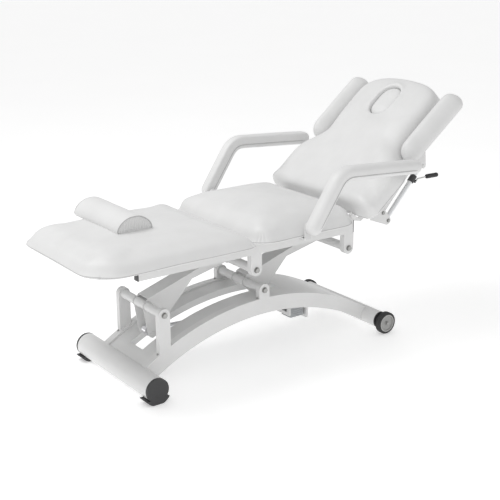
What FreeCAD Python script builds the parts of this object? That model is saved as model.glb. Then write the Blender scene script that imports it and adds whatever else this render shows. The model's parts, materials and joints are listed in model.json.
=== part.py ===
import FreeCAD, Part

import math
import os

# Height-adjustable facial treatment bed.
# Millimetres. +X towards the head end, +Y towards the right of somebody lying
# face up, +Z up. Z = 0 is the floor and Y = 0 is the centre plane.

V = FreeCAD.Vector

# ---------------------------------------------------------------- base frame
FRONT_TUBE_X = -611.0
FRONT_TUBE_Z = 60.0
FRONT_TUBE_R = 50.0
FRONT_TUBE_HALF = 286.0
TUBE_WALL = 3.0
CAP_THICK = 12.0
SHOE_LENGTH = 46.0
SHOE_R = 64.0
SHOE_TOP = 24.0

REAR_TUBE_X = 598.0
REAR_TUBE_Z = 62.0
REAR_TUBE_R = 38.0
REAR_TUBE_HALF = 257.0
AXLE_X = 613.0
AXLE_Z = 50.5
WHEEL_R = 50.5
WHEEL_INNER_Y = 265.0
WHEEL_WIDTH = 28.0
AXLE_R = 5.0
RUN_GAP = 0.05

ARCH_TOP_X = -8.0
ARCH_TOP_Z = 274.0
ARCH_TOP_R = 1100.0
ARCH_LOW_X = 5.0
ARCH_LOW_Z = 204.0
ARCH_LOW_R = 1060.0
ARCH_X0 = -594.0
ARCH_X1 = 590.0
RAIL_OUT_Y = 173.0
RAIL_IN_Y = 138.0
PANEL_SINK = 11.0
PANEL_FLUSH_X = 330.0
SHEET = 3.0
OPENING_X0 = -532.0
OPENING_X1 = 165.0
OPENING_HALF = 49.0
FLANGE_DEPTH = 30.0

# ------------------------------------------------------------- lift linkage
P1 = (-497.0, 310.0)
P2 = (3.0, 310.0)
ARM_RISE = (404.0, 130.0)
P3 = (P1[0] + ARM_RISE[0], P1[1] + ARM_RISE[1])
P4 = (P2[0] + ARM_RISE[0], P2[1] + ARM_RISE[1])
BRACKET_HALF = 27.0
LOWER_BRACKET_THICK = 25.0
CROSS_TUBE_R = 19.0
BUSH_R = CROSS_TUBE_R - TUBE_WALL
BUSH_LENGTH = 30.0
PIVOT_R = 8.0
SIDE_GAP = 1.0
CHANNEL_HALF = 40.0
CHANNEL_EDGE = 29.0
CRANK_PIN = (P1[0] + 22.0, P1[1] - 123.0)
CRANK_PIN_R = 7.0

MOTOR_PIVOT = (291.0, 142.0)
EYE_R = 23.0
EYE_HOLE_R = 15.0
EYE_HALF = 14.0
LIFT_EYE_OFFSET = (0.4, 0.9)

# ---------------------------------------------------------------- top frame
TOP_RAIL_Z0 = 508.0
TOP_RAIL_Z1 = 568.0
TOP_RAIL_X0 = -650.0
TOP_RAIL_X1 = 430.0
TOP_RAIL_OUT_Y = 248.0
TOP_RAIL_IN_Y = 220.0
UPPER_BRACKET_THICK = 28.0
BOARD = 12.0
CUSHION_Z0 = TOP_RAIL_Z1 + 1.5
HALF_WIDTH = 345.0
LEG_X0 = -888.0
LEG_X1 = -149.0
LEG_TOP = 638.0
SEAT_X0 = -145.0
SEAT_X1 = 394.5
SEAT_TOP = 644.5
SEAT_HALF = 337.0

# ----------------------------------------------------------------- backrest
BACK_FOOT = (399.0, 642.0)
BACK_ANGLE = math.radians(38.6)
BACK_LENGTH = 735.0
BACK_THICK = 87.0
BACK_WIDE = 349.0
BACK_NARROW = 243.0
BACK_HINGE = (417.0, 588.0)
HINGE_LUG_Y = 242.0
LUG_THICK = 6.0
EAR_IN_Y = HINGE_LUG_Y + LUG_THICK + 1.0
EAR_OUT_Y = EAR_IN_Y + LUG_THICK

CRANK_LENGTH = 64.0
CRANK_TILT = math.radians(6.1)
BACK_CRANK_PIN = (BACK_HINGE[0] + CRANK_LENGTH * math.sin(CRANK_TILT),
                  BACK_HINGE[1] - CRANK_LENGTH * math.cos(CRANK_TILT))
BACK_MOTOR_PIVOT = (-20.0, BACK_CRANK_PIN[1] + 3.0)
BACK_EYE_OFFSET = (-0.3, 4.6)

# ------------------------------------------------------- side arm supports
LINK_FOOT_BAR = (94.0, 153.0)
LINK_FOOT_TUBE = (94.0, 204.0)
LINK_RUN = (294.5, -45.0)
PLATE_OUT_Y = 290.0
PLATE_THICK = 5.0
LINK_OUT_Y = 283.0
LINK_HALF = 11.0
PIN_R = 5.0

SIDE_OUT_Y = 344.0
SIDE_IN_Y = 260.0
SIDE_S0 = 322.0
SIDE_S1 = 692.0
SIDE_THICK = 66.0

# ------------------------------------------------------------------ armrests
ARM_IN_Y = 351.5
ARM_OUT_Y = 414.5
ARM_HALF = 26.0
ARM_PIN_R = 7.0
ARM_PIN_REACH = 40.0
ARM_PIVOT = (94.0, 619.0)
ARM_ELBOW = (235.0, 826.0)
ARM_END = (650.0, 797.0)
ARM_BEND_R = 80.0

# -------------------------------------------------------------- loose pieces
PLUG_S = 566.0
PLUG_HALF_LENGTH = 88.0
PLUG_HALF_WIDTH = 60.0
PLUG_GAP = 1.2
BOLSTER_X = -550.0
BOLSTER_Y0 = -62.0
BOLSTER_Y1 = 312.0
BOLSTER_HALF = 82.0
BOLSTER_HEIGHT = 70.0
BOLSTER_LIP = 20.0

# Steel sheet and tube sizes used in several places.
TOP_TUBE_WALL = 2.0
CROSS_DEPTH = 20.0


# ------------------------------------------------------------------- helpers
def box(x0, x1, y0, y1, z0, z1):
    return Part.makeBox(x1 - x0, y1 - y0, z1 - z0, V(x0, y0, z0))


def rod_y(centre, radius, y0, y1):
    return Part.makeCylinder(radius, y1 - y0, V(centre[0], y0, centre[1]), V(0, 1, 0))


def tube_y(centre, radius, wall, y0, y1):
    return rod_y(centre, radius, y0, y1).cut(rod_y(centre, radius - wall, y0, y1))


def rod_between(a, b, radius):
    """Round rod between two 3-D points."""
    start = V(*a)
    along = V(*b) - start
    return Part.makeCylinder(radius, along.Length, start, along)


def plate(points, y0, y1):
    """Flat plate whose outline is a list of (x, z) points."""
    loop = [V(x, y0, z) for x, z in points]
    wire = Part.makePolygon(loop + [loop[0]])
    return Part.Face(wire).extrude(V(0, y1 - y0, 0))


def strap(a, b, radius, y0, y1):
    """Flat bar with round ends between two (x, z) points."""
    dx, dz = b[0] - a[0], b[1] - a[1]
    length = math.hypot(dx, dz)
    nx, nz = -dz / length * radius, dx / length * radius
    corners = [(a[0] + nx, a[1] + nz), (b[0] + nx, b[1] + nz),
               (b[0] - nx, b[1] - nz), (a[0] - nx, a[1] - nz)]
    bar = plate(corners, y0, y1)
    return bar.fuse([rod_y(a, radius, y0, y1), rod_y(b, radius, y0, y1)]).removeSplitter()


def along(a, b, distance):
    """Point at a distance from a towards b."""
    length = math.hypot(b[0] - a[0], b[1] - a[1])
    return (a[0] + (b[0] - a[0]) * distance / length, a[1] + (b[1] - a[1]) * distance / length)


def bent_bar(a, corner, b, half, bend, y0, y1):
    """Bar with round ends and one bend whose centre line has the given radius."""
    angle_a = math.atan2(a[1] - corner[1], a[0] - corner[0])
    angle_b = math.atan2(b[1] - corner[1], b[0] - corner[0])
    opening = abs(angle_a - angle_b)
    opening = min(opening, 2.0 * math.pi - opening)
    reach = bend / math.tan(opening / 2.0)
    t1, t2 = along(corner, a, reach), along(corner, b, reach)
    middle = ((t1[0] + t2[0]) / 2.0, (t1[1] + t2[1]) / 2.0)
    centre = along(corner, middle, bend / math.sin(opening / 2.0))
    ring = rod_y(centre, bend + half, y0, y1).cut(rod_y(centre, bend - half, y0, y1))
    far_1, far_2 = along(centre, t1, 2.0 * bend), along(centre, t2, 2.0 * bend)
    far_mid = along(centre, corner, 3.0 * bend)
    sector = ring.common(plate([centre, far_1, far_mid, far_2], y0, y1))
    return strap(a, t1, half, y0, y1).fuse([strap(t2, b, half, y0, y1), sector]).removeSplitter()


def hex_head(centre, across_flats, y0, y1):
    radius = across_flats / math.sqrt(3.0)
    points = []
    for step in range(6):
        turn = math.radians(60 * step)
        points.append((centre[0] + radius * math.cos(turn), centre[1] + radius * math.sin(turn)))
    return plate(points, y0, y1)


def mirrored(shape):
    return shape.mirror(V(0, 0, 0), V(0, 1, 0))


def both_sides(shape):
    return [shape, mirrored(shape)]


def group(*shapes):
    """Several separate solids kept in one node."""
    flat = []
    for shape in shapes:
        flat.extend(shape if isinstance(shape, list) else [shape])
    return flat[0] if len(flat) == 1 else Part.makeCompound(flat)


def arc_z(x, apex_x, apex_z, radius):
    return apex_z - radius + math.sqrt(radius ** 2 - (x - apex_x) ** 2)


def arch_top(x):
    return arc_z(x, ARCH_TOP_X, ARCH_TOP_Z, ARCH_TOP_R)


def arch_low(x):
    return arc_z(x, ARCH_LOW_X, ARCH_LOW_Z, ARCH_LOW_R)


def band(x0, x1, upper, lower, y0, y1):
    """Curved strip between two height functions, each drawn as one arc."""
    mid = (x0 + x1) / 2.0
    top = Part.Arc(V(x0, y0, upper(x0)), V(mid, y0, upper(mid)), V(x1, y0, upper(x1)))
    low = Part.Arc(V(x1, y0, lower(x1)), V(mid, y0, lower(mid)), V(x0, y0, lower(x0)))
    right = Part.LineSegment(V(x1, y0, upper(x1)), V(x1, y0, lower(x1)))
    left = Part.LineSegment(V(x0, y0, lower(x0)), V(x0, y0, upper(x0)))
    edges = [top.toShape(), right.toShape(), low.toShape(), left.toShape()]
    return Part.Face(Part.Wire(edges)).extrude(V(0, y1 - y0, 0))


def back_point(s, d):
    """World (x, z) of a point s along the backrest and d behind its face."""
    c, n = math.cos(BACK_ANGLE), math.sin(BACK_ANGLE)
    return (BACK_FOOT[0] + s * c + d * n, BACK_FOOT[1] + s * n - d * c)


def back_plate(points, y0, y1):
    return plate([back_point(s, d) for s, d in points], y0, y1)


def back_box(s0, s1, y0, y1, d0, d1):
    return back_plate([(s0, d0), (s1, d0), (s1, d1), (s0, d1)], y0, y1)


def tilt(shape):
    """Move a shape drawn flat (s along X, front face up at Z = 0) onto the backrest."""
    placed = shape.copy()
    placed.rotate(V(0, 0, 0), V(0, -1, 0), math.degrees(BACK_ANGLE))
    placed.translate(V(BACK_FOOT[0], 0, BACK_FOOT[1]))
    return placed


def soften(shape, radius, low, high):
    """Round every edge whose middle lies between two heights."""
    chosen = []
    for edge in shape.Edges:
        middle = edge.valueAt((edge.FirstParameter + edge.LastParameter) / 2.0)
        if low <= middle.z <= high:
            chosen.append(edge)
    return shape.makeFillet(radius, chosen)


def rounded_slab(x0, x1, y0, y1, z0, z1, corners):
    """Slab with upright corner radii, in the order --, +-, ++, -+ of (x, y)."""
    slab = box(x0, x1, y0, y1, z0, z1)
    spots = [(x0, y0), (x1, y0), (x1, y1), (x0, y1)]
    for (cx, cy), radius in zip(spots, corners):
        upright = []
        for edge in slab.Edges:
            middle = edge.valueAt((edge.FirstParameter + edge.LastParameter) / 2.0)
            if abs(middle.x - cx) < 0.1 and abs(middle.y - cy) < 0.1:
                upright.append(edge)
        slab = slab.makeFillet(radius, upright)
    return slab


# ---------------------------------------------------------------- base pieces
def front_tube():
    centre = (FRONT_TUBE_X, FRONT_TUBE_Z)
    return tube_y(centre, FRONT_TUBE_R, TUBE_WALL, -FRONT_TUBE_HALF, FRONT_TUBE_HALF)


def rear_tube():
    centre = (REAR_TUBE_X, REAR_TUBE_Z)
    return tube_y(centre, REAR_TUBE_R, TUBE_WALL, -REAR_TUBE_HALF, REAR_TUBE_HALF)


def clear_of_tubes(shape):
    front = rod_y((FRONT_TUBE_X, FRONT_TUBE_Z), FRONT_TUBE_R, -FRONT_TUBE_HALF, FRONT_TUBE_HALF)
    rear = rod_y((REAR_TUBE_X, REAR_TUBE_Z), REAR_TUBE_R, -REAR_TUBE_HALF, REAR_TUBE_HALF)
    return shape.cut(front).cut(rear)


def solid_rail():
    return band(ARCH_X0, ARCH_X1, arch_top, arch_low, RAIL_IN_Y, RAIL_OUT_Y)


def base_rails():
    hollow = band(ARCH_X0 - 9.0, ARCH_X1 + 9.0,
                  lambda x: arch_top(x) - SHEET, lambda x: arch_low(x) + SHEET,
                  RAIL_IN_Y + SHEET, RAIL_OUT_Y - SHEET)
    return group(both_sides(clear_of_tubes(solid_rail().cut(hollow))))


def panel_height(x):
    """Top of the sunk panel: below the rails in front, flush behind."""
    fade = (x - PANEL_FLUSH_X) / (ARCH_X0 - PANEL_FLUSH_X)
    return arch_top(x) - PANEL_SINK * math.sqrt(max(0.0, fade))


def base_panel():
    def flush(x):
        return arch_top(x) - 0.5
    half = RAIL_IN_Y
    front = band(ARCH_X0, PANEL_FLUSH_X, panel_height, lambda x: panel_height(x) - SHEET, -half, half)
    rear = band(PANEL_FLUSH_X, ARCH_X1, flush, lambda x: flush(x) - SHEET, -half, half)
    opening = box(OPENING_X0, OPENING_X1, -OPENING_HALF, OPENING_HALF, 0.0, ARCH_TOP_Z + 20.0)
    sides = band(OPENING_X0 - SHEET, OPENING_X1 + SHEET, panel_height,
                 lambda x: panel_height(x) - FLANGE_DEPTH, -OPENING_HALF - SHEET, OPENING_HALF + SHEET)
    return clear_of_tubes(front.fuse([rear, sides]).cut(opening).removeSplitter())


def front_end_caps():
    """Black end caps, each in one piece with the shoe the bed stands on."""
    centre = (FRONT_TUBE_X, FRONT_TUBE_Z)
    end = FRONT_TUBE_HALF
    disc = rod_y(centre, FRONT_TUBE_R, end, end + CAP_THICK)
    spigot = rod_y(centre, FRONT_TUBE_R - TUBE_WALL, end - 15.0, end)
    shoe = rod_y(centre, SHOE_R, end - SHOE_LENGTH, end + CAP_THICK)
    shoe = shoe.common(box(FRONT_TUBE_X - SHOE_R, FRONT_TUBE_X + SHOE_R,
                           end - SHOE_LENGTH, end + CAP_THICK, 0.0, SHOE_TOP))
    shoe = shoe.cut(rod_y(centre, FRONT_TUBE_R, end - SHOE_LENGTH - 1.0, end))
    return group(both_sides(disc.fuse([spigot, shoe]).removeSplitter()))


def rear_end_caps():
    centre = (REAR_TUBE_X, REAR_TUBE_Z)
    end = REAR_TUBE_HALF
    cap = rod_y(centre, REAR_TUBE_R, end, end + 5.0)
    cap = cap.fuse(rod_y(centre, REAR_TUBE_R - TUBE_WALL, end - 20.0, end))
    cap = cap.fuse(rod_y((AXLE_X, AXLE_Z), 11.0, end + 5.0, WHEEL_INNER_Y - 0.5))
    cap = cap.cut(rod_y((AXLE_X, AXLE_Z), AXLE_R, end - 21.0, WHEEL_INNER_Y))
    return group(both_sides(cap.removeSplitter()))


def axle_bolts():
    axle = (AXLE_X, AXLE_Z)
    outer = WHEEL_INNER_Y + WHEEL_WIDTH + 0.5
    bolt = rod_y(axle, AXLE_R, REAR_TUBE_HALF - 20.0, outer)
    bolt = bolt.fuse(hex_head(axle, 14.0, outer, outer + 5.0))
    return group(both_sides(bolt.removeSplitter()))


def wheel(side):
    """Moulded hub and rubber tyre, seated together."""
    axle = (AXLE_X, AXLE_Z)
    inner, outer = WHEEL_INNER_Y, WHEEL_INNER_Y + WHEEL_WIDTH
    hub_r = WHEEL_R - 11.0
    hub = rod_y(axle, hub_r, inner + 1.0, outer - 1.0)
    hub = hub.cut(rod_y(axle, hub_r - 5.0, outer - 5.0, outer))
    hub = hub.fuse(rod_y(axle, 10.0, outer - 6.0, outer)).cut(rod_y(axle, AXLE_R + RUN_GAP, inner, outer))
    tyre = rod_y(axle, WHEEL_R, inner, outer).cut(rod_y(axle, hub_r, inner, outer))
    rim_edges = [e for e in tyre.Edges if abs(getattr(e.Curve, "Radius", 0.0) - WHEEL_R) < 0.01]
    tyre = tyre.makeFillet(5.0, [e for e in rim_edges if e.Length > 10.0 and e.isClosed()])
    made = group(hub.removeSplitter(), tyre)
    return made if side > 0 else mirrored(made)


def pivot_bracket(pivot, y0, y1, foot_z):
    """Upright bracket plate with a round end about its pivot."""
    x, z = pivot
    body = box(x - BRACKET_HALF, x + BRACKET_HALF, y0, y1, min(z, foot_z), max(z, foot_z))
    body = body.fuse(rod_y(pivot, BRACKET_HALF, y0, y1)).removeSplitter()
    return body.cut(rod_y(pivot, PIVOT_R, y0 - 1.0, y1 + 1.0))


def on_rail(shape):
    whole = band(ARCH_X0, ARCH_X1, arch_top, lambda x: arch_low(x) - 150.0, RAIL_IN_Y - 1.0, RAIL_OUT_Y + 1.0)
    return shape.cut(whole)


def front_posts():
    post = pivot_bracket(P1, RAIL_OUT_Y - LOWER_BRACKET_THICK, RAIL_OUT_Y, 100.0)
    return group(both_sides(on_rail(post)))


def rear_lower_brackets():
    bracket = pivot_bracket(P2, RAIL_OUT_Y - LOWER_BRACKET_THICK, RAIL_OUT_Y, 240.0)
    return group(both_sides(on_rail(bracket)))


def pivot_bolt(pivot, inner, outer):
    """Shoulder bolt with washer and hex head outside the bracket."""
    shank = rod_y(pivot, PIVOT_R, inner, outer)
    washer = rod_y(pivot, 13.0, outer, outer + 2.0)
    head = hex_head(pivot, 19.0, outer + 2.0, outer + 9.0)
    return shank.fuse([washer, head]).removeSplitter()


def lower_pivot_bolts():
    inner = RAIL_OUT_Y - LOWER_BRACKET_THICK - BUSH_LENGTH
    return group(both_sides(pivot_bolt(P1, inner, RAIL_OUT_Y)),
                 both_sides(pivot_bolt(P2, inner, RAIL_OUT_Y)))


def post_screws():
    """Small screws through the bracket feet into the rails."""
    heads = []
    lift = 9.0
    for pivot in (P1, P2):
        for side in (-1.0, 1.0):
            x = pivot[0] + side * (BRACKET_HALF + 4.0)
            spot = V(x, RAIL_OUT_Y - 12.0, arch_top(x) - 4.0)
            screw = Part.makeCylinder(3.5, lift, spot, V(0, 0, 1))
            heads.extend(both_sides(on_rail(screw)))
    return group(heads)


def actuator_hangers():
    """Two hangers under the panel with cheeks and the pin for the lift motor."""
    pieces = []
    for x, low in ((236.0, 96.0), (334.0, 68.0)):
        hanger = box(x, x + 12.0, -45.0, 45.0, low, panel_height(x + 12.0) - SHEET)
        pieces.append(hanger)
    cheek_top = panel_height(300.0) - 30.0
    for side in (-1.0, 1.0):
        y0, y1 = sorted((side * 39.0, side * 45.0))
        cheek = box(248.0, 334.0, y0, y1, MOTOR_PIVOT[1] - 12.0, cheek_top)
        pieces.append(cheek)
    frame = pieces[0].fuse(pieces[1:]).removeSplitter()
    frame = frame.cut(rod_y(MOTOR_PIVOT, 7.0, -60.0, 60.0))
    window = box(230.0, 250.0, -30.0, 30.0, 112.0, 186.0)
    pin = rod_y(MOTOR_PIVOT, 7.0, -48.0, 48.0)
    return group(frame.cut(window).cut(base_panel()), pin)


# ------------------------------------------------------------------ lift arms
def arm_outline(foot, lobe):
    """Side plate outline: round the foot, up the back edge, over the head end."""
    fx, fz = foot
    length = math.hypot(*ARM_RISE)
    ux, uz = ARM_RISE[0] / length, ARM_RISE[1] / length

    def at(along, above):
        return (fx + ux * along - uz * above, fz + uz * along + ux * above)
    edge = CHANNEL_EDGE
    return [at(14.0, edge), at(length, edge), at(length + 8.0, 0.0), at(length, -14.0),
            (fx + 221.0, fz + 73.0), (fx + 148.0, fz - 5.0)] + [(fx + x, fz + z) for x, z in lobe]


def arm_channel(foot, lobe):
    """Inverted-U weldment: two side plates and a top plate between them."""
    outline = arm_outline(foot, lobe)
    inner = CHANNEL_HALF - SHEET
    sides = [plate(outline, inner, CHANNEL_HALF), plate(outline, -CHANNEL_HALF, -inner)]
    length = math.hypot(*ARM_RISE)
    ux, uz = ARM_RISE[0] / length, ARM_RISE[1] / length
    edge = CHANNEL_EDGE

    def at(along, above):
        return (foot[0] + ux * along - uz * above, foot[1] + uz * along + ux * above)
    top = plate([at(14.0, edge), at(length, edge), at(length, edge - SHEET), at(14.0, edge - SHEET)],
                -inner, inner)
    weldment = sides[0].fuse([sides[1], top]).removeSplitter()
    head = (foot[0] + ARM_RISE[0], foot[1] + ARM_RISE[1])
    for pivot in (foot, head):
        weldment = weldment.cut(rod_y(pivot, CROSS_TUBE_R, -CHANNEL_HALF - 1.0, CHANNEL_HALF + 1.0))
    return weldment


FRONT_LOBE = [(116.0, -38.0), (48.0, -122.0), (36.0, -140.0), (22.0, -146.0), (8.0, -140.0),
              (0.0, -122.0), (-19.0, 0.0)]
REAR_LOBE = [(116.0, -38.0), (84.0, -62.0), (52.0, -66.0), (20.0, -52.0), (-14.0, -14.0)]


def front_arm_channel():
    channel = arm_channel(P1, FRONT_LOBE)
    return channel.cut(rod_y(CRANK_PIN, CRANK_PIN_R, -50.0, 50.0))


def rear_arm_channel():
    return arm_channel(P2, REAR_LOBE)


def arm_tubes(foot, head):
    low_half = RAIL_OUT_Y - LOWER_BRACKET_THICK - SIDE_GAP
    high_half = TOP_RAIL_IN_Y - SIDE_GAP
    return [tube_y(foot, CROSS_TUBE_R, TUBE_WALL, -low_half, low_half),
            tube_y(head, CROSS_TUBE_R, TUBE_WALL, -high_half, high_half)]


def front_arm_tubes():
    pin = rod_y(CRANK_PIN, CRANK_PIN_R, -CHANNEL_HALF - 4.0, CHANNEL_HALF + 4.0)
    return group(arm_tubes(P1, P3), pin)


def rear_arm_tubes():
    return group(arm_tubes(P2, P4))


def arm_bushes(foot, head, head_gap):
    """Plain bushes pressed into the four tube ends."""
    bushes = []
    for pivot, face, gap in ((foot, RAIL_OUT_Y - LOWER_BRACKET_THICK, RUN_GAP),
                             (head, TOP_RAIL_IN_Y, head_gap)):
        end = face - SIDE_GAP
        ring = rod_y(pivot, BUSH_R, end - BUSH_LENGTH, end)
        bushes.extend(both_sides(ring.cut(rod_y(pivot, PIVOT_R + gap, 0.0, end + 1.0))))
    return bushes


def front_arm_bushes():
    return group(arm_bushes(P1, P3, RUN_GAP))


def rear_arm_bushes():
    return group(arm_bushes(P2, P4, 1.0))


# --------------------------------------------------------------- lift actuator
def shifted(point, offset):
    return (point[0] + offset[0], point[1] + offset[1])


LIFT_EYE = shifted(CRANK_PIN, LIFT_EYE_OFFSET)
BACK_EYE = shifted(BACK_CRANK_PIN, BACK_EYE_OFFSET)


def ram_rod(pivot, eye_at, reach, radius, eye_r, hole_r, eye_half):
    """Chromed rod with a wide-holed eye that has play on its crank pin."""
    a = along(eye_at, pivot, hole_r + 4.0)
    b = along(eye_at, pivot, reach)
    rod = rod_between((a[0], 0.0, a[1]), (b[0], 0.0, b[1]), radius)
    eye = rod_y(eye_at, eye_r, -eye_half, eye_half)
    return rod.fuse(eye).cut(rod_y(eye_at, hole_r, -eye_half - 1.0, eye_half + 1.0)).removeSplitter()


def lift_motor():
    """Motor and gear housing with its ram tube."""
    x, z = MOTOR_PIVOT
    housing = box(x - 38.0, x + 38.0, -36.0, 36.0, z - 62.0, z + 24.0)
    uprights = [e for e in housing.Edges if abs(e.Vertexes[0].Z - e.Vertexes[1].Z) > 1.0]
    housing = housing.makeFillet(8.0, uprights)
    tube = ram_bar(MOTOR_PIVOT, LIFT_EYE, 30.0, 440.0, 22.0)
    body = housing.fuse(tube).cut(rod_y(MOTOR_PIVOT, 7.0 + RUN_GAP, -60.0, 60.0))
    return body.cut(ram_bar(MOTOR_PIVOT, LIFT_EYE, 60.0, 445.0, 13.0)).removeSplitter()


def ram_bar(pivot, eye_at, start, stop, radius):
    """Round bar on the ram's axis, between two distances from its pivot."""
    a, b = along(pivot, eye_at, start), along(pivot, eye_at, stop)
    return rod_between((a[0], 0.0, a[1]), (b[0], 0.0, b[1]), radius)


def lift_rod():
    return ram_rod(MOTOR_PIVOT, LIFT_EYE, 480.0, 12.0, EYE_R, EYE_HOLE_R, EYE_HALF)


# ---------------------------------------------------------------- top frame
def side_rails():
    outer = box(TOP_RAIL_X0, TOP_RAIL_X1, TOP_RAIL_IN_Y, TOP_RAIL_OUT_Y, TOP_RAIL_Z0, TOP_RAIL_Z1)
    inner = box(TOP_RAIL_X0 - 1.0, TOP_RAIL_X1 + 1.0, TOP_RAIL_IN_Y + 2.0, TOP_RAIL_OUT_Y - 2.0,
                TOP_RAIL_Z0 + 2.0, TOP_RAIL_Z1 - 2.0)
    rail = outer.cut(inner)
    for x in (316.0, 356.0):
        slot = strap((x, 545.0), (x + 20.0, 545.0), 5.0, TOP_RAIL_OUT_Y - 3.0, TOP_RAIL_OUT_Y + 1.0)
        rail = rail.cut(slot)
    return group(both_sides(rail))


def cross_members():
    bars = []
    wall = TOP_TUBE_WALL
    for x in (-560.0, -260.0, 160.0, 310.0):
        outer = box(x, x + 40.0, -TOP_RAIL_IN_Y, TOP_RAIL_IN_Y, TOP_RAIL_Z1 - CROSS_DEPTH, TOP_RAIL_Z1)
        inner = box(x + wall, x + 40.0 - wall, -TOP_RAIL_IN_Y - 1.0, TOP_RAIL_IN_Y + 1.0,
                    TOP_RAIL_Z1 - CROSS_DEPTH + wall, TOP_RAIL_Z1 - wall)
        bars.append(outer.cut(inner))
    pivot_x, pivot_z = BACK_MOTOR_PIVOT
    main = box(pivot_x - 62.0, pivot_x - 32.0, -TOP_RAIL_IN_Y, TOP_RAIL_IN_Y, TOP_RAIL_Z0, TOP_RAIL_Z1)
    for side in (-1.0, 1.0):
        y0, y1 = sorted((side * 32.0, side * 38.0))
        ear = plate([(pivot_x - 32.0, pivot_z - 16.0), (pivot_x + 14.0, pivot_z - 16.0),
                     (pivot_x + 14.0, pivot_z + 16.0), (pivot_x - 32.0, pivot_z + 16.0)], y0, y1)
        main = main.fuse(ear)
    main = main.cut(rod_y(BACK_MOTOR_PIVOT, 6.0, -40.0, 40.0)).removeSplitter()
    pin = rod_y(BACK_MOTOR_PIVOT, 6.0, -41.0, 41.0)
    return group(bars, main, pin)


def upper_brackets():
    inner = TOP_RAIL_OUT_Y - UPPER_BRACKET_THICK
    return group(both_sides(pivot_bracket(P3, inner, TOP_RAIL_OUT_Y, TOP_RAIL_Z0)),
                 both_sides(pivot_bracket(P4, inner, TOP_RAIL_OUT_Y, TOP_RAIL_Z0)))


def upper_pivot_bolts():
    inner = TOP_RAIL_OUT_Y - UPPER_BRACKET_THICK - BUSH_LENGTH
    return group(both_sides(pivot_bolt(P3, inner, TOP_RAIL_OUT_Y)),
                 both_sides(pivot_bolt(P4, inner, TOP_RAIL_OUT_Y)))


def rail_plugs():
    plugs = []
    for x, inward in ((TOP_RAIL_X0, 1.0), (TOP_RAIL_X1, -1.0)):
        x0, x1 = sorted((x - inward * 4.0, x))
        head = box(x0, x1, TOP_RAIL_IN_Y, TOP_RAIL_OUT_Y, TOP_RAIL_Z0, TOP_RAIL_Z1)
        x0, x1 = sorted((x, x + inward * 18.0))
        tail = box(x0, x1, TOP_RAIL_IN_Y + 2.0, TOP_RAIL_OUT_Y - 2.0, TOP_RAIL_Z0 + 2.0, TOP_RAIL_Z1 - 2.0)
        plugs.extend(both_sides(head.fuse(tail).removeSplitter()))
    return group(plugs)


def leg_board():
    return rounded_slab(LEG_X0 + 22.0, LEG_X1 - 22.0, -HALF_WIDTH + 22.0, HALF_WIDTH - 22.0,
                        TOP_RAIL_Z1, TOP_RAIL_Z1 + BOARD, (95.0, 12.0, 12.0, 95.0))


def seat_board():
    return rounded_slab(SEAT_X0 + 22.0, SEAT_X1 - 22.0, -SEAT_HALF + 22.0, SEAT_HALF - 22.0,
                        TOP_RAIL_Z1, TOP_RAIL_Z1 + BOARD, (38.0,) * 4)


def leg_cushion():
    """Upholstered pad, wrapped round the edge of its board."""
    pad = rounded_slab(LEG_X0, LEG_X1, -HALF_WIDTH, HALF_WIDTH, CUSHION_Z0, LEG_TOP,
                       (115.0, 30.0, 30.0, 115.0))
    return soften(pad, 40.0, LEG_TOP - 0.1, LEG_TOP + 0.1).cut(leg_board())


def seat_cushion():
    pad = rounded_slab(SEAT_X0, SEAT_X1, -SEAT_HALF, SEAT_HALF, CUSHION_Z0, SEAT_TOP,
                       (60.0,) * 4)
    return soften(pad, 34.0, SEAT_TOP - 0.1, SEAT_TOP + 0.1).cut(seat_board())


def back_hinge_lugs():
    """Lugs on the rail ends with the pins the backrest turns on."""
    x, z = BACK_HINGE
    outline = [(x - 17.0, TOP_RAIL_Z1), (x + 13.0, TOP_RAIL_Z1), (x + 11.0, z + 4.0), (x + 6.0, z + 10.0),
               (x - 6.0, z + 10.0), (x - 11.0, z + 4.0)]
    lug = plate(outline, HINGE_LUG_Y, HINGE_LUG_Y + LUG_THICK)
    lug = lug.cut(rod_y(BACK_HINGE, PIN_R, HINGE_LUG_Y - 1.0, HINGE_LUG_Y + LUG_THICK + 1.0))
    pin = rod_y(BACK_HINGE, PIN_R, HINGE_LUG_Y, EAR_OUT_Y + 1.0)
    pin = pin.fuse(rod_y(BACK_HINGE, PIN_R + 3.0, EAR_OUT_Y + 1.0, EAR_OUT_Y + 4.0))
    return group(both_sides(lug), both_sides(pin.removeSplitter()))


def armrest_brackets():
    """Outriggers from the rails with an upright and the armrest pivot pin."""
    x, z = ARM_PIVOT
    reach = ARM_IN_Y - 1.0
    low = TOP_RAIL_Z1 - 9.0
    bar = box(x - 15.0, x + 15.0, TOP_RAIL_OUT_Y, reach, low, TOP_RAIL_Z1)
    upright = plate([(x - 15.0, low), (x + 15.0, low), (x + 14.0, z + 4.0), (x + 7.0, z + 13.0),
                     (x - 7.0, z + 13.0), (x - 14.0, z + 4.0)], reach - LUG_THICK, reach)
    pin = rod_y(ARM_PIVOT, ARM_PIN_R, reach, ARM_IN_Y + ARM_PIN_REACH)
    return group(both_sides(bar.fuse([upright, pin]).removeSplitter()))


def control_box():
    """Power supply and control unit hung under the leg section."""
    case = rounded_slab(-520.0, -400.0, 60.0, 190.0, TOP_RAIL_Z1 - 52.0, TOP_RAIL_Z1, (8.0, 8.0, 8.0, 8.0))
    return case


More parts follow.
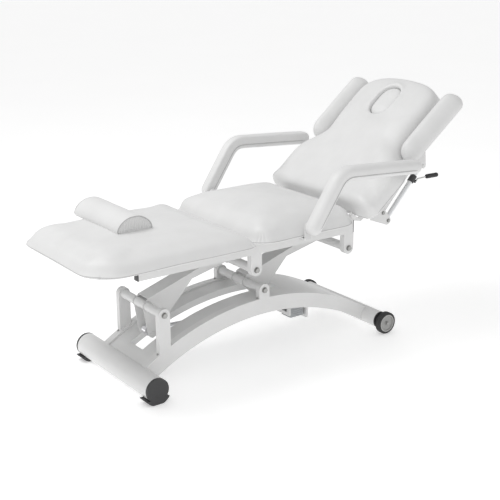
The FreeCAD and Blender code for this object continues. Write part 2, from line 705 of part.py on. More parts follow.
# ------------------------------------------------------------------ backrest
def back_outline(inset):
    """Wide at the hips, narrow at the shoulders, round at the head."""
    wide, narrow = BACK_WIDE - inset, BACK_NARROW - inset
    s0, s1 = inset, BACK_LENGTH - inset
    foot_r = 60.0
    hip_s, waist_s, head_s = 215.0, 385.0, 600.0
    edges = []
    for side in (1.0, -1.0):
        points = [V(s0 + foot_r, side * wide, 0), V(hip_s, side * wide, 0),
                  V(waist_s, side * narrow, 0), V(head_s, side * narrow, 0)]
        edges.append(Part.LineSegment(points[0], points[1]).toShape())
        waist = Part.BezierCurve()
        waist.setPoles([points[1], V(hip_s + 75.0, side * wide, 0), V(waist_s - 70.0, side * narrow, 0),
                        points[2]])
        edges.append(waist.toShape())
        edges.append(Part.LineSegment(points[2], points[3]).toShape())
        head = Part.BezierCurve()
        head.setPoles([points[3], V(s1 - 35.0, side * narrow, 0), V(s1, side * (narrow - 83.0), 0),
                       V(s1, 0, 0)])
        edges.append(head.toShape())
        corner = Part.BezierCurve()
        corner.setPoles([points[0], V(s0, side * wide, 0), V(s0, side * (wide - foot_r), 0)])
        edges.append(corner.toShape())
    edges.append(Part.LineSegment(V(s0, wide - foot_r, 0), V(s0, foot_r - wide, 0)).toShape())
    return Part.Face(Part.Wire(Part.__sortEdges__(edges)))


def plug_outline(grow):
    """Oblong with full round ends, for the face hole and its plug."""
    half = PLUG_HALF_LENGTH + grow
    radius = PLUG_HALF_WIDTH + grow
    middle = box(PLUG_S - half + radius, PLUG_S + half - radius, -radius, radius, -BACK_THICK - 20.0, 10.0)
    ends = []
    for side in (-1.0, 1.0):
        centre = V(PLUG_S + side * (half - radius), 0, -BACK_THICK - 20.0)
        ends.append(Part.makeCylinder(radius, BACK_THICK + 30.0, centre, V(0, 0, 1)))
    return middle.fuse(ends).removeSplitter()


def back_cushion():
    pad = back_outline(0.0).extrude(V(0, 0, -BACK_THICK))
    pad = soften(pad, 30.0, -0.1, 0.1)
    return tilt(pad.cut(plug_outline(PLUG_GAP)).cut(flat_back_board()))


def flat_back_board():
    board = back_outline(22.0).extrude(V(0, 0, -BOARD))
    board.translate(V(0, 0, -BACK_THICK + BOARD - 1.5))
    return board.cut(plug_outline(PLUG_GAP))


def back_board():
    return tilt(flat_back_board())


def face_plug():
    deep = box(0.0, BACK_LENGTH, -100.0, 100.0, -BACK_THICK, 0.0)
    return tilt(soften(plug_outline(0.0).common(deep), 8.0, -0.1, 0.1))


FRAME_D0 = BACK_THICK + 1.5
FRAME_D1 = FRAME_D0 + 24.0


def square_tube(s0, s1, y0, y1):
    outer = back_box(s0, s1, y0, y1, FRAME_D0, FRAME_D1)
    if s1 - s0 > y1 - y0:
        return outer.cut(back_box(s0 - 1.0, s1 + 1.0, y0 + 2.0, y1 - 2.0, FRAME_D0 + 2.0, FRAME_D1 - 2.0))
    return outer.cut(back_box(s0 + 2.0, s1 - 2.0, y0 - 1.0, y1 + 1.0, FRAME_D0 + 2.0, FRAME_D1 - 2.0))


def back_frame():
    """Two long tubes, three cross tubes and the hinge plates down to the pins."""
    inner = 190.0
    pieces = []
    for side in (-1.0, 1.0):
        y0, y1 = sorted((side * inner, side * (inner + 25.0)))
        pieces.append(square_tube(30.0, 640.0, y0, y1))
    for s in (40.0, 330.0, 440.0):
        pieces.append(square_tube(s, s + 25.0, -inner, inner))
    ear = back_plate([(-28.6, 49.4), (-22.6, 44.4), (-13.6, 44.4), (-9.0, 56.0), (-3.0, FRAME_D0 + 1.0),
                      (70.0, FRAME_D0 + 1.0), (70.0, FRAME_D1), (0.0, FRAME_D1), (-24.0, 84.0), (-28.6, 58.0)],
                     EAR_IN_Y, EAR_OUT_Y)
    ear = ear.cut(rod_y(BACK_HINGE, PIN_R + RUN_GAP, EAR_IN_Y - 1.0, EAR_OUT_Y + 1.0))
    spacer = back_box(36.0, 64.0, inner + 25.0, EAR_IN_Y, FRAME_D0 + 4.0, FRAME_D1 - 4.0)
    for shape in (ear, spacer):
        pieces.extend(both_sides(shape))
    return group(pieces)


def support_rails():
    """Short outer tubes that carry the side support plates."""
    outer_y = PLATE_OUT_Y - PLATE_THICK - 1.0
    rail = back_box(24.0, 190.0, outer_y - 26.0, outer_y, FRAME_D0, FRAME_D0 + 18.0)
    rail = rail.cut(back_box(23.0, 191.0, outer_y - 24.0, outer_y - 2.0, FRAME_D0 + 2.0, FRAME_D0 + 16.0))
    return rail


def support_lower_plates():
    rail = support_rails()
    outline = [(23.0, FRAME_D0 + 2.0), (60.0, FRAME_D0 + 4.0), (104.0, FRAME_D0 + 10.0), (110.0, 132.0),
               (109.0, 205.0), (103.0, 215.0), (92.0, 219.0), (76.0, 214.0), (26.0, 128.0)]
    sheet = back_plate(outline, PLATE_OUT_Y - PLATE_THICK - 1.0, PLATE_OUT_Y - 1.0)
    for foot in (LINK_FOOT_BAR, LINK_FOOT_TUBE):
        sheet = sheet.cut(rod_y(back_point(*foot), PIN_R, PLATE_OUT_Y - 20.0, PLATE_OUT_Y + 1.0))
    return group(both_sides(sheet.fuse(rail).removeSplitter()))


def link_pin(point):
    """Pin with a round washer and hex head outside the plate."""
    inner = LINK_OUT_Y - 2.0 * LINK_HALF - 2.0
    pin = rod_y(point, PIN_R, inner, PLATE_OUT_Y - 1.0)
    washer = rod_y(point, 9.0, PLATE_OUT_Y - 1.0, PLATE_OUT_Y)
    head = hex_head(point, 12.0, PLATE_OUT_Y, PLATE_OUT_Y + 4.0)
    return pin.fuse([washer, head]).removeSplitter()


def support_pins():
    pins = []
    for foot in (LINK_FOOT_BAR, LINK_FOOT_TUBE):
        pins.extend(both_sides(link_pin(back_point(*foot))))
    return group(pins)


def back_crank():
    """Crank plates on the lower cross tube and the pin the ram pushes on."""
    sheets = []
    for side in (-1.0, 1.0):
        y0, y1 = sorted((side * 18.0, side * 24.0))
        foot_a, foot_b = back_point(38.0, FRAME_D1), back_point(67.0, FRAME_D1)
        x, z = BACK_CRANK_PIN
        sheets.append(plate([foot_a, foot_b, (x + 16.0, z - 8.0), (x + 4.0, z - 15.0), (x - 10.0, z - 11.0),
                             (x - 14.0, z), (x - 8.0, z + 12.0)], y0, y1))
    pin = rod_y(BACK_CRANK_PIN, 6.0, -24.0, 24.0)
    return group(sheets[0].fuse([sheets[1], pin]).removeSplitter())


def frame_plugs():
    outer_y = PLATE_OUT_Y - PLATE_THICK - 1.0
    head = back_box(20.0, 24.0, outer_y - 26.0, outer_y, FRAME_D0, FRAME_D0 + 18.0)
    tail = back_box(24.0, 38.0, outer_y - 24.0, outer_y - 2.0, FRAME_D0 + 2.0, FRAME_D0 + 16.0)
    return group(both_sides(head.fuse(tail).removeSplitter()))


def back_motor():
    x, z = BACK_MOTOR_PIVOT
    housing = box(x - 14.0, x + 96.0, -28.0, 28.0, z - 24.0, z + 18.0)
    tube = ram_bar(BACK_MOTOR_PIVOT, BACK_EYE, 60.0, 315.0, 17.0)
    body = housing.fuse(tube).cut(rod_y(BACK_MOTOR_PIVOT, 6.0 + RUN_GAP, -60.0, 60.0))
    return body.cut(ram_bar(BACK_MOTOR_PIVOT, BACK_EYE, 40.0, 320.0, 11.5)).removeSplitter()


def back_rod():
    return ram_rod(BACK_MOTOR_PIVOT, BACK_EYE, 330.0, 10.0, 19.0, 12.5, 12.0)


# ------------------------------------------------------------ side supports
def link_head(foot):
    return (foot[0] + LINK_RUN[0], foot[1] + LINK_RUN[1])


def sided(shape, side):
    return shape if side > 0 else mirrored(shape)


def support_bar(side):
    """White flat bar, the front one of the two parallel links."""
    a, b = back_point(*LINK_FOOT_BAR), back_point(*link_head(LINK_FOOT_BAR))
    bar = strap(a, b, 10.0, LINK_OUT_Y - 20.0, LINK_OUT_Y)
    for point in (a, b):
        bar = bar.cut(rod_y(point, PIN_R + RUN_GAP, LINK_OUT_Y - 21.0, LINK_OUT_Y + 1.0))
    return sided(bar, side)


def support_link(side):
    """Bright tube with flattened eyes, the rear one of the parallel links."""
    a, b = back_point(*LINK_FOOT_TUBE), back_point(*link_head(LINK_FOOT_TUBE))
    mid_y = LINK_OUT_Y - LINK_HALF
    start, stop = along(a, b, 14.0), along(b, a, 14.0)
    tube = rod_between((start[0], mid_y, start[1]), (stop[0], mid_y, stop[1]), LINK_HALF)
    eyes = [rod_y(p, 11.0, mid_y - 8.0, mid_y + 8.0) for p in (a, b)]
    link = tube.fuse(eyes).removeSplitter()
    for point in (a, b):
        link = link.cut(rod_y(point, PIN_R + RUN_GAP, LINK_OUT_Y - 25.0, LINK_OUT_Y + 1.0))
    return sided(link, side)


LOCK_AT = 224.0
LOCK_LENGTH = 34.0


def lock_frame():
    """Direction along the rear link and the lever pivot point beside it."""
    a, b = back_point(*LINK_FOOT_TUBE), back_point(*link_head(LINK_FOOT_TUBE))
    centre = along(a, b, LOCK_AT)
    return a, b, centre


def lock_body(side):
    """Black clamp round the rear link with an ear for the release lever."""
    a, b, centre = lock_frame()
    mid_y = LINK_OUT_Y - LINK_HALF
    start, stop = along(a, b, LOCK_AT - LOCK_LENGTH / 2.0), along(a, b, LOCK_AT + LOCK_LENGTH / 2.0)
    sleeve = rod_between((start[0], mid_y, start[1]), (stop[0], mid_y, stop[1]), LINK_HALF + 4.0)
    ear = strap(centre, lever_pivot(), 7.0, mid_y - 5.0, mid_y + 5.0)
    body = sleeve.fuse(ear)
    body = body.cut(rod_between((a[0], mid_y, a[1]), (b[0], mid_y, b[1]), LINK_HALF))
    body = body.cut(rod_y(lever_pivot(), 3.0, mid_y - 20.0, mid_y + 20.0))
    return sided(body.removeSplitter(), side)


def lever_pivot():
    a, b, centre = lock_frame()
    length = math.hypot(b[0] - a[0], b[1] - a[1])
    nx, nz = (b[1] - a[1]) / length, -(b[0] - a[0]) / length
    return (centre[0] + nx * 22.0, centre[1] + nz * 22.0)


def release_lever(side):
    """Bent wire lever with a moulded grip, pivoted on the clamp ear."""
    x, z = lever_pivot()
    mid_y = LINK_OUT_Y - LINK_HALF
    wire_y = mid_y + 5.0 + 3.5
    pin = rod_y((x, z), 3.0 - RUN_GAP, mid_y - 6.0, wire_y)
    rise = (x + 10.0, wire_y, z + 12.0)
    first = rod_between((x, wire_y, z), rise, 3.0)
    second = rod_between(rise, (x + 76.0, wire_y, z + 14.0), 3.0)
    joints = [Part.makeSphere(3.0, V(*rise)), Part.makeSphere(3.0, V(x, wire_y, z))]
    wire = pin.fuse([first, second] + joints).removeSplitter()
    grip = Part.makeCylinder(10.0, 72.0, V(x + 62.0, wire_y, z + 14.4), V(1, 0, -0.02))
    grip = grip.makeFillet(6.0, [e for e in grip.Edges if e.isClosed()])
    grip = grip.cut(wire)
    return sided(group(wire, grip), side)


def side_board():
    return rounded_slab(SIDE_S0 + 16.0, SIDE_S1 - 16.0, SIDE_IN_Y + 12.0, SIDE_OUT_Y - 12.0,
                        -SIDE_THICK - 1.0, -SIDE_THICK + BOARD - 1.0, (28.0,) * 4)


def support_carrier(side):
    """Upper plate, its flange and the board under the side cushion."""
    outline = [(372.0, 91.0), (376.0, 160.0), (382.0, 170.0), (393.0, 172.0), (402.0, 165.0), (437.0, 112.0),
               (437.0, 91.0)]
    upright = back_plate(outline, PLATE_OUT_Y - PLATE_THICK, PLATE_OUT_Y)
    neck = back_box(372.0, 437.0, PLATE_OUT_Y - PLATE_THICK, PLATE_OUT_Y, SIDE_THICK, 91.0)
    carrier = tilt(side_board()).fuse([upright, neck]).removeSplitter()
    pins = []
    for foot in (LINK_FOOT_BAR, LINK_FOOT_TUBE):
        head = back_point(*link_head(foot))
        carrier = carrier.cut(rod_y(head, PIN_R, PLATE_OUT_Y - 20.0, PLATE_OUT_Y + 1.0))
        pin = rod_y(head, PIN_R, LINK_OUT_Y - 2.0 * LINK_HALF - 2.0, PLATE_OUT_Y)
        pins.append(pin.fuse(hex_head(head, 12.0, PLATE_OUT_Y, PLATE_OUT_Y + 4.0)).removeSplitter())
    return sided(group(carrier, pins), side)


def side_cushion(side):
    radius = (SIDE_OUT_Y - SIDE_IN_Y) / 2.0 - 1.0
    pad = rounded_slab(SIDE_S0, SIDE_S1, SIDE_IN_Y, SIDE_OUT_Y, -SIDE_THICK, 0.0, (radius,) * 4)
    pad = soften(pad, 28.0, -0.1, 0.1).cut(side_board())
    return sided(tilt(pad), side)


# ----------------------------------------------------------------- armrests
def armrest(side):
    """Padded bar that climbs from its pivot, bends at the elbow and runs back."""
    pad = bent_bar(ARM_PIVOT, ARM_ELBOW, ARM_END, ARM_HALF, ARM_BEND_R, ARM_IN_Y, ARM_OUT_Y)
    rims = []
    for edge in pad.Edges:
        ends = [vertex.Y for vertex in edge.Vertexes]
        if max(ends) - min(ends) < 0.01:
            rims.append(edge)
    pad = pad.makeFillet(16.0, rims)
    pad = pad.cut(rod_y(ARM_PIVOT, ARM_PIN_R + RUN_GAP, ARM_IN_Y - 1.0, ARM_IN_Y + ARM_PIN_REACH + 2.0))
    return sided(pad, side)


# -------------------------------------------------------------- loose pieces
def bolster():
    half, height = BOLSTER_HALF, BOLSTER_HEIGHT
    z0 = LEG_TOP + 0.5
    points = [V(BOLSTER_X - half, BOLSTER_Y0, z0), V(BOLSTER_X - half, BOLSTER_Y0, z0 + BOLSTER_LIP),
              V(BOLSTER_X, BOLSTER_Y0, z0 + height), V(BOLSTER_X + half, BOLSTER_Y0, z0 + BOLSTER_LIP),
              V(BOLSTER_X + half, BOLSTER_Y0, z0)]
    dome = Part.Arc(points[1], points[2], points[3]).toShape()
    lines = [Part.LineSegment(points[0], points[1]), Part.LineSegment(points[3], points[4]),
             Part.LineSegment(points[4], points[0])]
    wire = Part.Wire(Part.__sortEdges__([dome] + [line.toShape() for line in lines]))
    solid = Part.Face(wire).extrude(V(0, BOLSTER_Y1 - BOLSTER_Y0, 0))
    return soften(solid, 12.0, z0 - 0.1, z0 + 0.1)


PARTS = {
    "front_tube": front_tube, "rear_tube": rear_tube, "base_rails": base_rails, "base_panel": base_panel,
    "front_end_caps": front_end_caps, "rear_end_caps": rear_end_caps, "axle_bolts": axle_bolts,
    "front_posts": front_posts, "rear_lower_brackets": rear_lower_brackets,
    "lower_pivot_bolts": lower_pivot_bolts, "post_screws": post_screws,
    "actuator_hangers": actuator_hangers,
    "front_arm_channel": front_arm_channel, "front_arm_tubes": front_arm_tubes,
    "front_arm_bushes": front_arm_bushes, "rear_arm_channel": rear_arm_channel,
    "rear_arm_tubes": rear_arm_tubes, "rear_arm_bushes": rear_arm_bushes,
    "lift_motor": lift_motor, "lift_rod": lift_rod,
    "side_rails": side_rails, "cross_members": cross_members, "upper_brackets": upper_brackets,
    "upper_pivot_bolts": upper_pivot_bolts, "rail_plugs": rail_plugs, "leg_board": leg_board,
    "seat_board": seat_board, "leg_cushion": leg_cushion, "seat_cushion": seat_cushion,
    "back_hinge_lugs": back_hinge_lugs, "armrest_brackets": armrest_brackets, "control_box": control_box,
    "back_frame": back_frame, "back_board": back_board, "back_cushion": back_cushion,
    "support_lower_plates": support_lower_plates, "support_pins": support_pins, "back_crank": back_crank,
    "frame_plugs": frame_plugs, "back_motor": back_motor, "back_rod": back_rod,
    "face_plug": face_plug, "bolster": bolster,
}
SIDED_PARTS = {
    "wheel": wheel, "support_bar": support_bar, "support_link": support_link, "lock_body": lock_body,
    "release_lever": release_lever, "support_carrier": support_carrier, "side_cushion": side_cushion,
    "armrest": armrest,
}


def write(shape, name):
    """Export with the origin on the floor under the middle of the whole bed."""
    placed = shape.copy()
    head_x = back_point(BACK_LENGTH, BACK_THICK)[0]
    placed.translate(V(-(LEG_X0 + head_x) / 2.0, 0, 0))
    placed.exportStep("parts/" + name + ".step")


def main():
    os.makedirs("parts", exist_ok=True)
    for name, make in PARTS.items():
        write(make(), name)
    for name, make in SIDED_PARTS.items():
        for side, word in ((1.0, "right"), (-1.0, "left")):
            write(make(side), word + "_" + name)


main()
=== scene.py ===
import json
import math

import bpy
import numpy as np
from mathutils import Matrix, Vector, kdtree


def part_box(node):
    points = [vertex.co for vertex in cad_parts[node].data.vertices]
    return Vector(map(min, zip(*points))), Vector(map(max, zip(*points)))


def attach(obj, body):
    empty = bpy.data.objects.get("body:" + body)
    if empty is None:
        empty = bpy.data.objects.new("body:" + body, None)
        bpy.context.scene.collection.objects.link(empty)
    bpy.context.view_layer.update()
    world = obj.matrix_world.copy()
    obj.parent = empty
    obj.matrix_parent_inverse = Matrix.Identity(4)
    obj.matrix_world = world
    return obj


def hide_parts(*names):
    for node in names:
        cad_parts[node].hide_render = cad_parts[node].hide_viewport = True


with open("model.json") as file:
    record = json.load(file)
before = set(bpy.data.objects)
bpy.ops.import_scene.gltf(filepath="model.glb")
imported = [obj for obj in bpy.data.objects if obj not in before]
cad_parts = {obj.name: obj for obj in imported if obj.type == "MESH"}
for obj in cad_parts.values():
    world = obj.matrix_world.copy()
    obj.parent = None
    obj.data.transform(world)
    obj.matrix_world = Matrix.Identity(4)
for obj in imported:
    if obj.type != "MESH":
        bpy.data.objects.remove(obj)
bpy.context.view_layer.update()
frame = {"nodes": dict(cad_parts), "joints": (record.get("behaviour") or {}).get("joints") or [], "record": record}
RECORD = frame["record"]
JOINTS = {joint["name"]: joint for joint in frame["joints"]}

# Facial treatment bed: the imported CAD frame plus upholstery, wheels, welds and materials.
# Metres. +X towards the head end, +Y towards the right of somebody lying face up.


# ------------------------------------------------------------------ node helpers
class Nodes:
    """Short way to build one material's node tree."""

    def __init__(self, name):
        self.material = bpy.data.materials.new(name)
        self.material.use_nodes = True
        self.tree = self.material.node_tree
        self.tree.nodes.clear()
        self.out = self.tree.nodes.new("ShaderNodeOutputMaterial")
        self.shader = self.tree.nodes.new("ShaderNodeBsdfPrincipled")
        self.link(self.shader.outputs[0], self.out.inputs["Surface"])
        coordinates = self.tree.nodes.new("ShaderNodeTexCoord")
        self.position = coordinates.outputs["Object"]

    def link(self, a, b):
        """Join an output socket to an input socket."""
        self.tree.links.new(a, b)

    def noise(self, scale, detail=3.0, rough=0.55, stretch=None):
        """Cloudy noise, about 0 to 1."""
        node = self.tree.nodes.new("ShaderNodeTexNoise")
        node.inputs["Scale"].default_value = scale
        node.inputs["Detail"].default_value = detail
        node.inputs["Roughness"].default_value = rough
        self.link(self.stretched(stretch), node.inputs["Vector"])
        return node.outputs["Fac"]

    def cells(self, scale):
        """Distance from the middle of the nearest cell."""
        node = self.tree.nodes.new("ShaderNodeTexVoronoi")
        node.feature = "F1"
        node.inputs["Scale"].default_value = scale
        self.link(self.position, node.inputs["Vector"])
        return node.outputs["Distance"]

    def stretched(self, stretch):
        """Position, scaled along each axis if asked."""
        if stretch is None:
            return self.position
        node = self.tree.nodes.new("ShaderNodeMapping")
        node.inputs["Scale"].default_value = stretch
        self.link(self.position, node.inputs["Vector"])
        return node.outputs["Vector"]

    def math(self, kind, a, b):
        """One arithmetic step on two sockets or numbers."""
        node = self.tree.nodes.new("ShaderNodeMath")
        node.operation = kind
        for socket, value in zip(node.inputs, (a, b)):
            if isinstance(value, (int, float)):
                socket.default_value = value
            else:
                self.link(value, socket)
        return node.outputs[0]

    def span(self, value, low, high, to_low=0.0, to_high=1.0):
        """Value mapped from one range onto another, and held inside it."""
        node = self.tree.nodes.new("ShaderNodeMapRange")
        node.inputs["From Min"].default_value = low
        node.inputs["From Max"].default_value = high
        node.inputs["To Min"].default_value = to_low
        node.inputs["To Max"].default_value = to_high
        self.link(value, node.inputs["Value"])
        return node.outputs["Result"]

    def mix(self, fac, a, b):
        """Blend of two colours or colour sockets."""
        node = self.tree.nodes.new("ShaderNodeMix")
        node.data_type = "RGBA"
        self.link(fac, node.inputs["Factor"])
        for socket, value in ((node.inputs["A"], a), (node.inputs["B"], b)):
            if isinstance(value, tuple):
                socket.default_value = value + (1.0,)
            else:
                self.link(value, socket)
        return node.outputs["Result"]

    def edges(self, low, high):
        """0 on flat parts, 1 along outside edges."""
        node = self.tree.nodes.new("ShaderNodeNewGeometry")
        return self.span(node.outputs["Pointiness"], low, high)

    def bump(self, height, distance, strength, before=None):
        """Normal bent by a height field, on top of an earlier normal if given."""
        node = self.tree.nodes.new("ShaderNodeBump")
        node.inputs["Distance"].default_value = distance
        node.inputs["Strength"].default_value = strength
        self.link(height, node.inputs["Height"])
        if before is not None:
            self.link(before, node.inputs["Normal"])
        return node.outputs["Normal"]

    def finish(self, colour, roughness, normal, **values):
        """Fill the shader and hand back the material."""
        self.link(colour, self.shader.inputs["Base Color"])
        self.link(roughness, self.shader.inputs["Roughness"])
        self.link(normal, self.shader.inputs["Normal"])
        for key, value in values.items():
            self.shader.inputs[key.replace("_", " ")].default_value = value
        return self.material


# --------------------------------------------------------------------- materials
# Start of the release lever's grip, measured from its pivot along X.
GRIP_START = 0.061
# Radius at which the wheel's hub ends and its tyre begins.
HUB_R = 0.036
FLOOR_GLOW = 0.36


def vinyl(name, light, dark):
    """Upholstery vinyl: fine pebble grain, slow tone changes, soft sheen, and a painted highlight that lightens
    the outside edges.
    """
    n = Nodes(name)
    tone = n.mix(n.span(n.noise(9.0, 4.0), 0.35, 0.68), light, dark)
    grain = n.span(n.cells(1500.0), 0.0, 0.75)
    pores = n.span(n.noise(2600.0, 2.0), 0.3, 0.7)
    colour = n.mix(n.math("MULTIPLY", n.math("MULTIPLY", grain, pores), 0.25), tone, dark)
    # Painted highlight: the colour is lifted towards the light tone along outside edges.
    vinyl_edge_highlight = n.mix(n.math("MULTIPLY", n.edges(0.52, 0.60), 0.25), colour, light)
    rough = n.span(n.noise(40.0, 3.0), 0.3, 0.7, 0.40, 0.52)
    slack = n.bump(n.noise(14.0, 2.0, 0.4), 0.0010, 0.3)
    normal = n.bump(grain, 0.00012, 0.45, slack)
    return n.finish(vinyl_edge_highlight, rough, normal, Specular_IOR_Level=0.42, Sheen_Weight=0.08, Coat_Weight=0.06,
                    Coat_Roughness=0.35)


def powder_coat(name, light, dark):
    """Powder-coated steel: orange-peel skin, faint dust specks all over, and a painted highlight that makes the
    outside edges paler.
    """
    n = Nodes(name)
    tone = n.mix(n.span(n.noise(7.0, 3.0), 0.3, 0.7), light, dark)
    specks = n.span(n.noise(700.0, 2.0), 0.55, 0.8)
    colour = n.mix(n.math("MULTIPLY", specks, 0.12), tone, dark)
    # Painted highlight: outside edges are blended towards a paler grey.
    edge_highlighted = n.mix(n.math("MULTIPLY", n.edges(0.53, 0.62), 0.5), colour, (0.82, 0.82, 0.815))
    rough = n.span(n.noise(60.0, 3.0), 0.3, 0.7, 0.30, 0.42)
    normal = n.bump(n.noise(520.0, 2.0), 0.00025, 0.35)
    return n.finish(edge_highlighted, rough, normal, Specular_IOR_Level=0.5, Coat_Weight=0.1, Coat_Roughness=0.2)


def bare_metal(name, light, dark, low, high, brush):
    """Bright metal with fine lines drawn along one axis."""
    n = Nodes(name)
    lines = n.noise(90.0, 3.0, 0.6, brush)
    tone = n.mix(n.span(lines, 0.3, 0.7), dark, light)
    # Painted highlight: outside edges are blended towards the light tone.
    edge_highlighted = n.mix(n.math("MULTIPLY", n.edges(0.52, 0.6), 0.5), tone, light)
    rough = n.span(lines, 0.25, 0.75, low, high)
    normal = n.bump(lines, 0.00006, 0.4)
    return n.finish(edge_highlighted, rough, normal, Metallic=1.0)


def moulded(name, light, dark, low, high):
    """Moulded plastic or rubber with a fine spark-eroded texture."""
    n = Nodes(name)
    tone = n.mix(n.span(n.noise(25.0, 4.0), 0.3, 0.7), dark, light)
    # Painted highlight: outside edges are blended towards a colour brighter than the plastic's own.
    edge_highlight_colour = tuple(min(1.0, part * 1.6 + 0.02) for part in light)
    edge_highlighted = n.mix(n.math("MULTIPLY", n.edges(0.52, 0.6), 0.6), tone, edge_highlight_colour)
    rough = n.span(n.noise(150.0, 3.0), 0.3, 0.7, low, high)
    normal = n.bump(n.noise(900.0, 2.0), 0.0002, 0.4)
    return n.finish(edge_highlighted, rough, normal, Specular_IOR_Level=0.4)


def laminate(name):
    """Light grey laminated board with a faint linen texture."""
    n = Nodes(name)
    warp = n.noise(60.0, 3.0, 0.6, (1.0, 9.0, 9.0))
    weft = n.noise(60.0, 3.0, 0.6, (9.0, 1.0, 9.0))
    weave = n.math("ADD", warp, weft)
    tone = n.mix(n.span(weave, 0.8, 1.2), (0.62, 0.62, 0.615), (0.54, 0.54, 0.535))
    spots = n.mix(n.math("MULTIPLY", n.span(n.noise(5.0, 2.0), 0.5, 0.75), 0.3), tone, (0.50, 0.50, 0.49))
    return n.finish(spots, n.span(weave, 0.8, 1.2, 0.5, 0.62), n.bump(weave, 0.0002, 0.4))


def wheel_mix(name, radius):
    """Rubber outside a radius from the axle and a grey hub inside it."""
    n = Nodes(name)
    centre = Vector(JOINTS["left_wheel_spin"]["pos_m"])
    split = n.tree.nodes.new("ShaderNodeSeparateXYZ")
    n.link(n.position, split.inputs[0])
    x = n.math("SUBTRACT", split.outputs["X"], centre.x)
    z = n.math("SUBTRACT", split.outputs["Z"], centre.z)
    reach = n.math("SQRT", n.math("ADD", n.math("MULTIPLY", x, x), n.math("MULTIPLY", z, z)), 0.0)
    tyre = n.math("GREATER_THAN", reach, radius)
    speck = n.noise(260.0, 3.0)
    hub = n.mix(n.span(speck, 0.3, 0.7), (0.33, 0.33, 0.325), (0.42, 0.42, 0.41))
    rubber = n.mix(n.span(speck, 0.3, 0.7), (0.024, 0.024, 0.025), (0.042, 0.042, 0.043))
    rough = n.span(tyre, 0.0, 1.0, 0.42, 0.72)
    return n.finish(n.mix(tyre, hub, rubber), rough, n.bump(n.noise(700.0, 2.0), 0.0002, 0.4))


def lever_mix(name, joint):
    """Bright wire up to the moulded grip, which is black."""
    n = Nodes(name)
    split = n.tree.nodes.new("ShaderNodeSeparateXYZ")
    n.link(n.position, split.inputs[0])
    start = JOINTS[joint]["pos_m"][0] + GRIP_START
    grip = n.math("GREATER_THAN", split.outputs["X"], start)
    speck = n.noise(240.0, 3.0)
    wire = n.mix(n.span(speck, 0.3, 0.7), (0.52, 0.52, 0.51), (0.66, 0.66, 0.65))
    rubber = n.mix(n.span(speck, 0.3, 0.7), (0.022, 0.022, 0.023), (0.038, 0.038, 0.039))
    bright = n.math("SUBTRACT", 1.0, grip)
    n.link(bright, n.shader.inputs["Metallic"])
    ribs = n.noise(300.0, 2.0, 0.5, (3.0, 0.4, 0.4))
    rough = n.span(grip, 0.0, 1.0, 0.28, 0.6)
    return n.finish(n.mix(grip, wire, rubber), rough, n.bump(ribs, 0.0003, 0.4))


def floor_paint(name):
    """Pale matt floor that glows a little, so that it stays near white."""
    n = Nodes(name)
    tone = n.mix(n.span(n.noise(1.2, 3.0), 0.3, 0.7), (0.96, 0.96, 0.96), (0.94, 0.94, 0.94))
    rough = n.span(n.noise(6.0, 2.0), 0.3, 0.7, 0.55, 0.65)
    n.shader.inputs["Emission Color"].default_value = (1.0, 1.0, 1.0, 1.0)
    return n.finish(tone, rough, n.bump(n.noise(300.0), 0.0002, 0.1), Emission_Strength=FLOOR_GLOW)


VINYL = vinyl("white_vinyl", (0.775, 0.775, 0.773), (0.74, 0.74, 0.737))
PIPING = vinyl("piping_vinyl", (0.56, 0.56, 0.557), (0.48, 0.48, 0.477))
PAINT = powder_coat("powder_coat", (0.71, 0.71, 0.708), (0.65, 0.65, 0.647))
ZINC = bare_metal("zinc_steel", (0.44, 0.44, 0.43), (0.26, 0.26, 0.255), 0.25, 0.42, (1.0, 1.0, 1.0))
CHROME = bare_metal("chrome_rod", (0.88, 0.88, 0.90), (0.74, 0.74, 0.76), 0.06, 0.16, (1.0, 8.0, 8.0))
BRIGHT = bare_metal("bright_tube", (0.88, 0.89, 0.90), (0.76, 0.77, 0.78), 0.30, 0.42, (1.0, 14.0, 1.0))
BLACK = moulded("black_plastic", (0.030, 0.030, 0.031), (0.018, 0.018, 0.019), 0.35, 0.5)
GREY = moulded("grey_housing", (0.33, 0.34, 0.35), (0.25, 0.26, 0.27), 0.4, 0.55)
RUBBER = moulded("tyre_rubber", (0.034, 0.034, 0.035), (0.022, 0.022, 0.023), 0.6, 0.75)
LIGHT_GREY = moulded("wheel_hub_grey", (0.46, 0.46, 0.45), (0.36, 0.36, 0.35), 0.35, 0.5)
BUSH = moulded("bush_plastic", (0.16, 0.16, 0.16), (0.10, 0.10, 0.10), 0.35, 0.5)
TYRE = wheel_mix("wheel_rubber", HUB_R)
BOARD = laminate("board_laminate")
WELD = powder_coat("painted_weld", (0.60, 0.60, 0.598), (0.50, 0.50, 0.498))
CABLE = moulded("cable_jacket", (0.05, 0.05, 0.052), (0.03, 0.03, 0.031), 0.45, 0.6)
FLOOR = floor_paint("studio_floor")

SLOT_MATERIALS = {
    "powder_coat": PAINT, "zinc_steel": ZINC, "chrome_rod": CHROME, "black_plastic": BLACK,
    "bush_plastic": BUSH, "grey_housing": GREY, "board": BOARD, "white_vinyl": VINYL,
    "wheel_rubber": TYRE, "bright_tube": BRIGHT,
}


def dress_cad_nodes():
    """Give every CAD node the material of its slot."""
    slots = {row["node"]: row["material_slot"] for row in RECORD["subparts"]}
    for name, node in frame["nodes"].items():
        node.data.materials.clear()
        node.data.materials.append(SLOT_MATERIALS[slots[name]])
        shade_by_angle(node)
    for side in ("right", "left"):
        lever = frame["nodes"][side + "_release_lever"]
        lever.data.materials[0] = lever_mix(side + "_lever", side + "_lever_squeeze")


SHADE_ANGLE = math.radians(32.0)


def shade_by_angle(piece):
    """Smooth shading that breaks at sharp edges."""
    for polygon in piece.data.polygons:
        polygon.use_smooth = True
    modifier = piece.modifiers.new("edge_shading", "EDGE_SPLIT")
    modifier.split_angle = SHADE_ANGLE
    modifier.use_edge_sharp = False


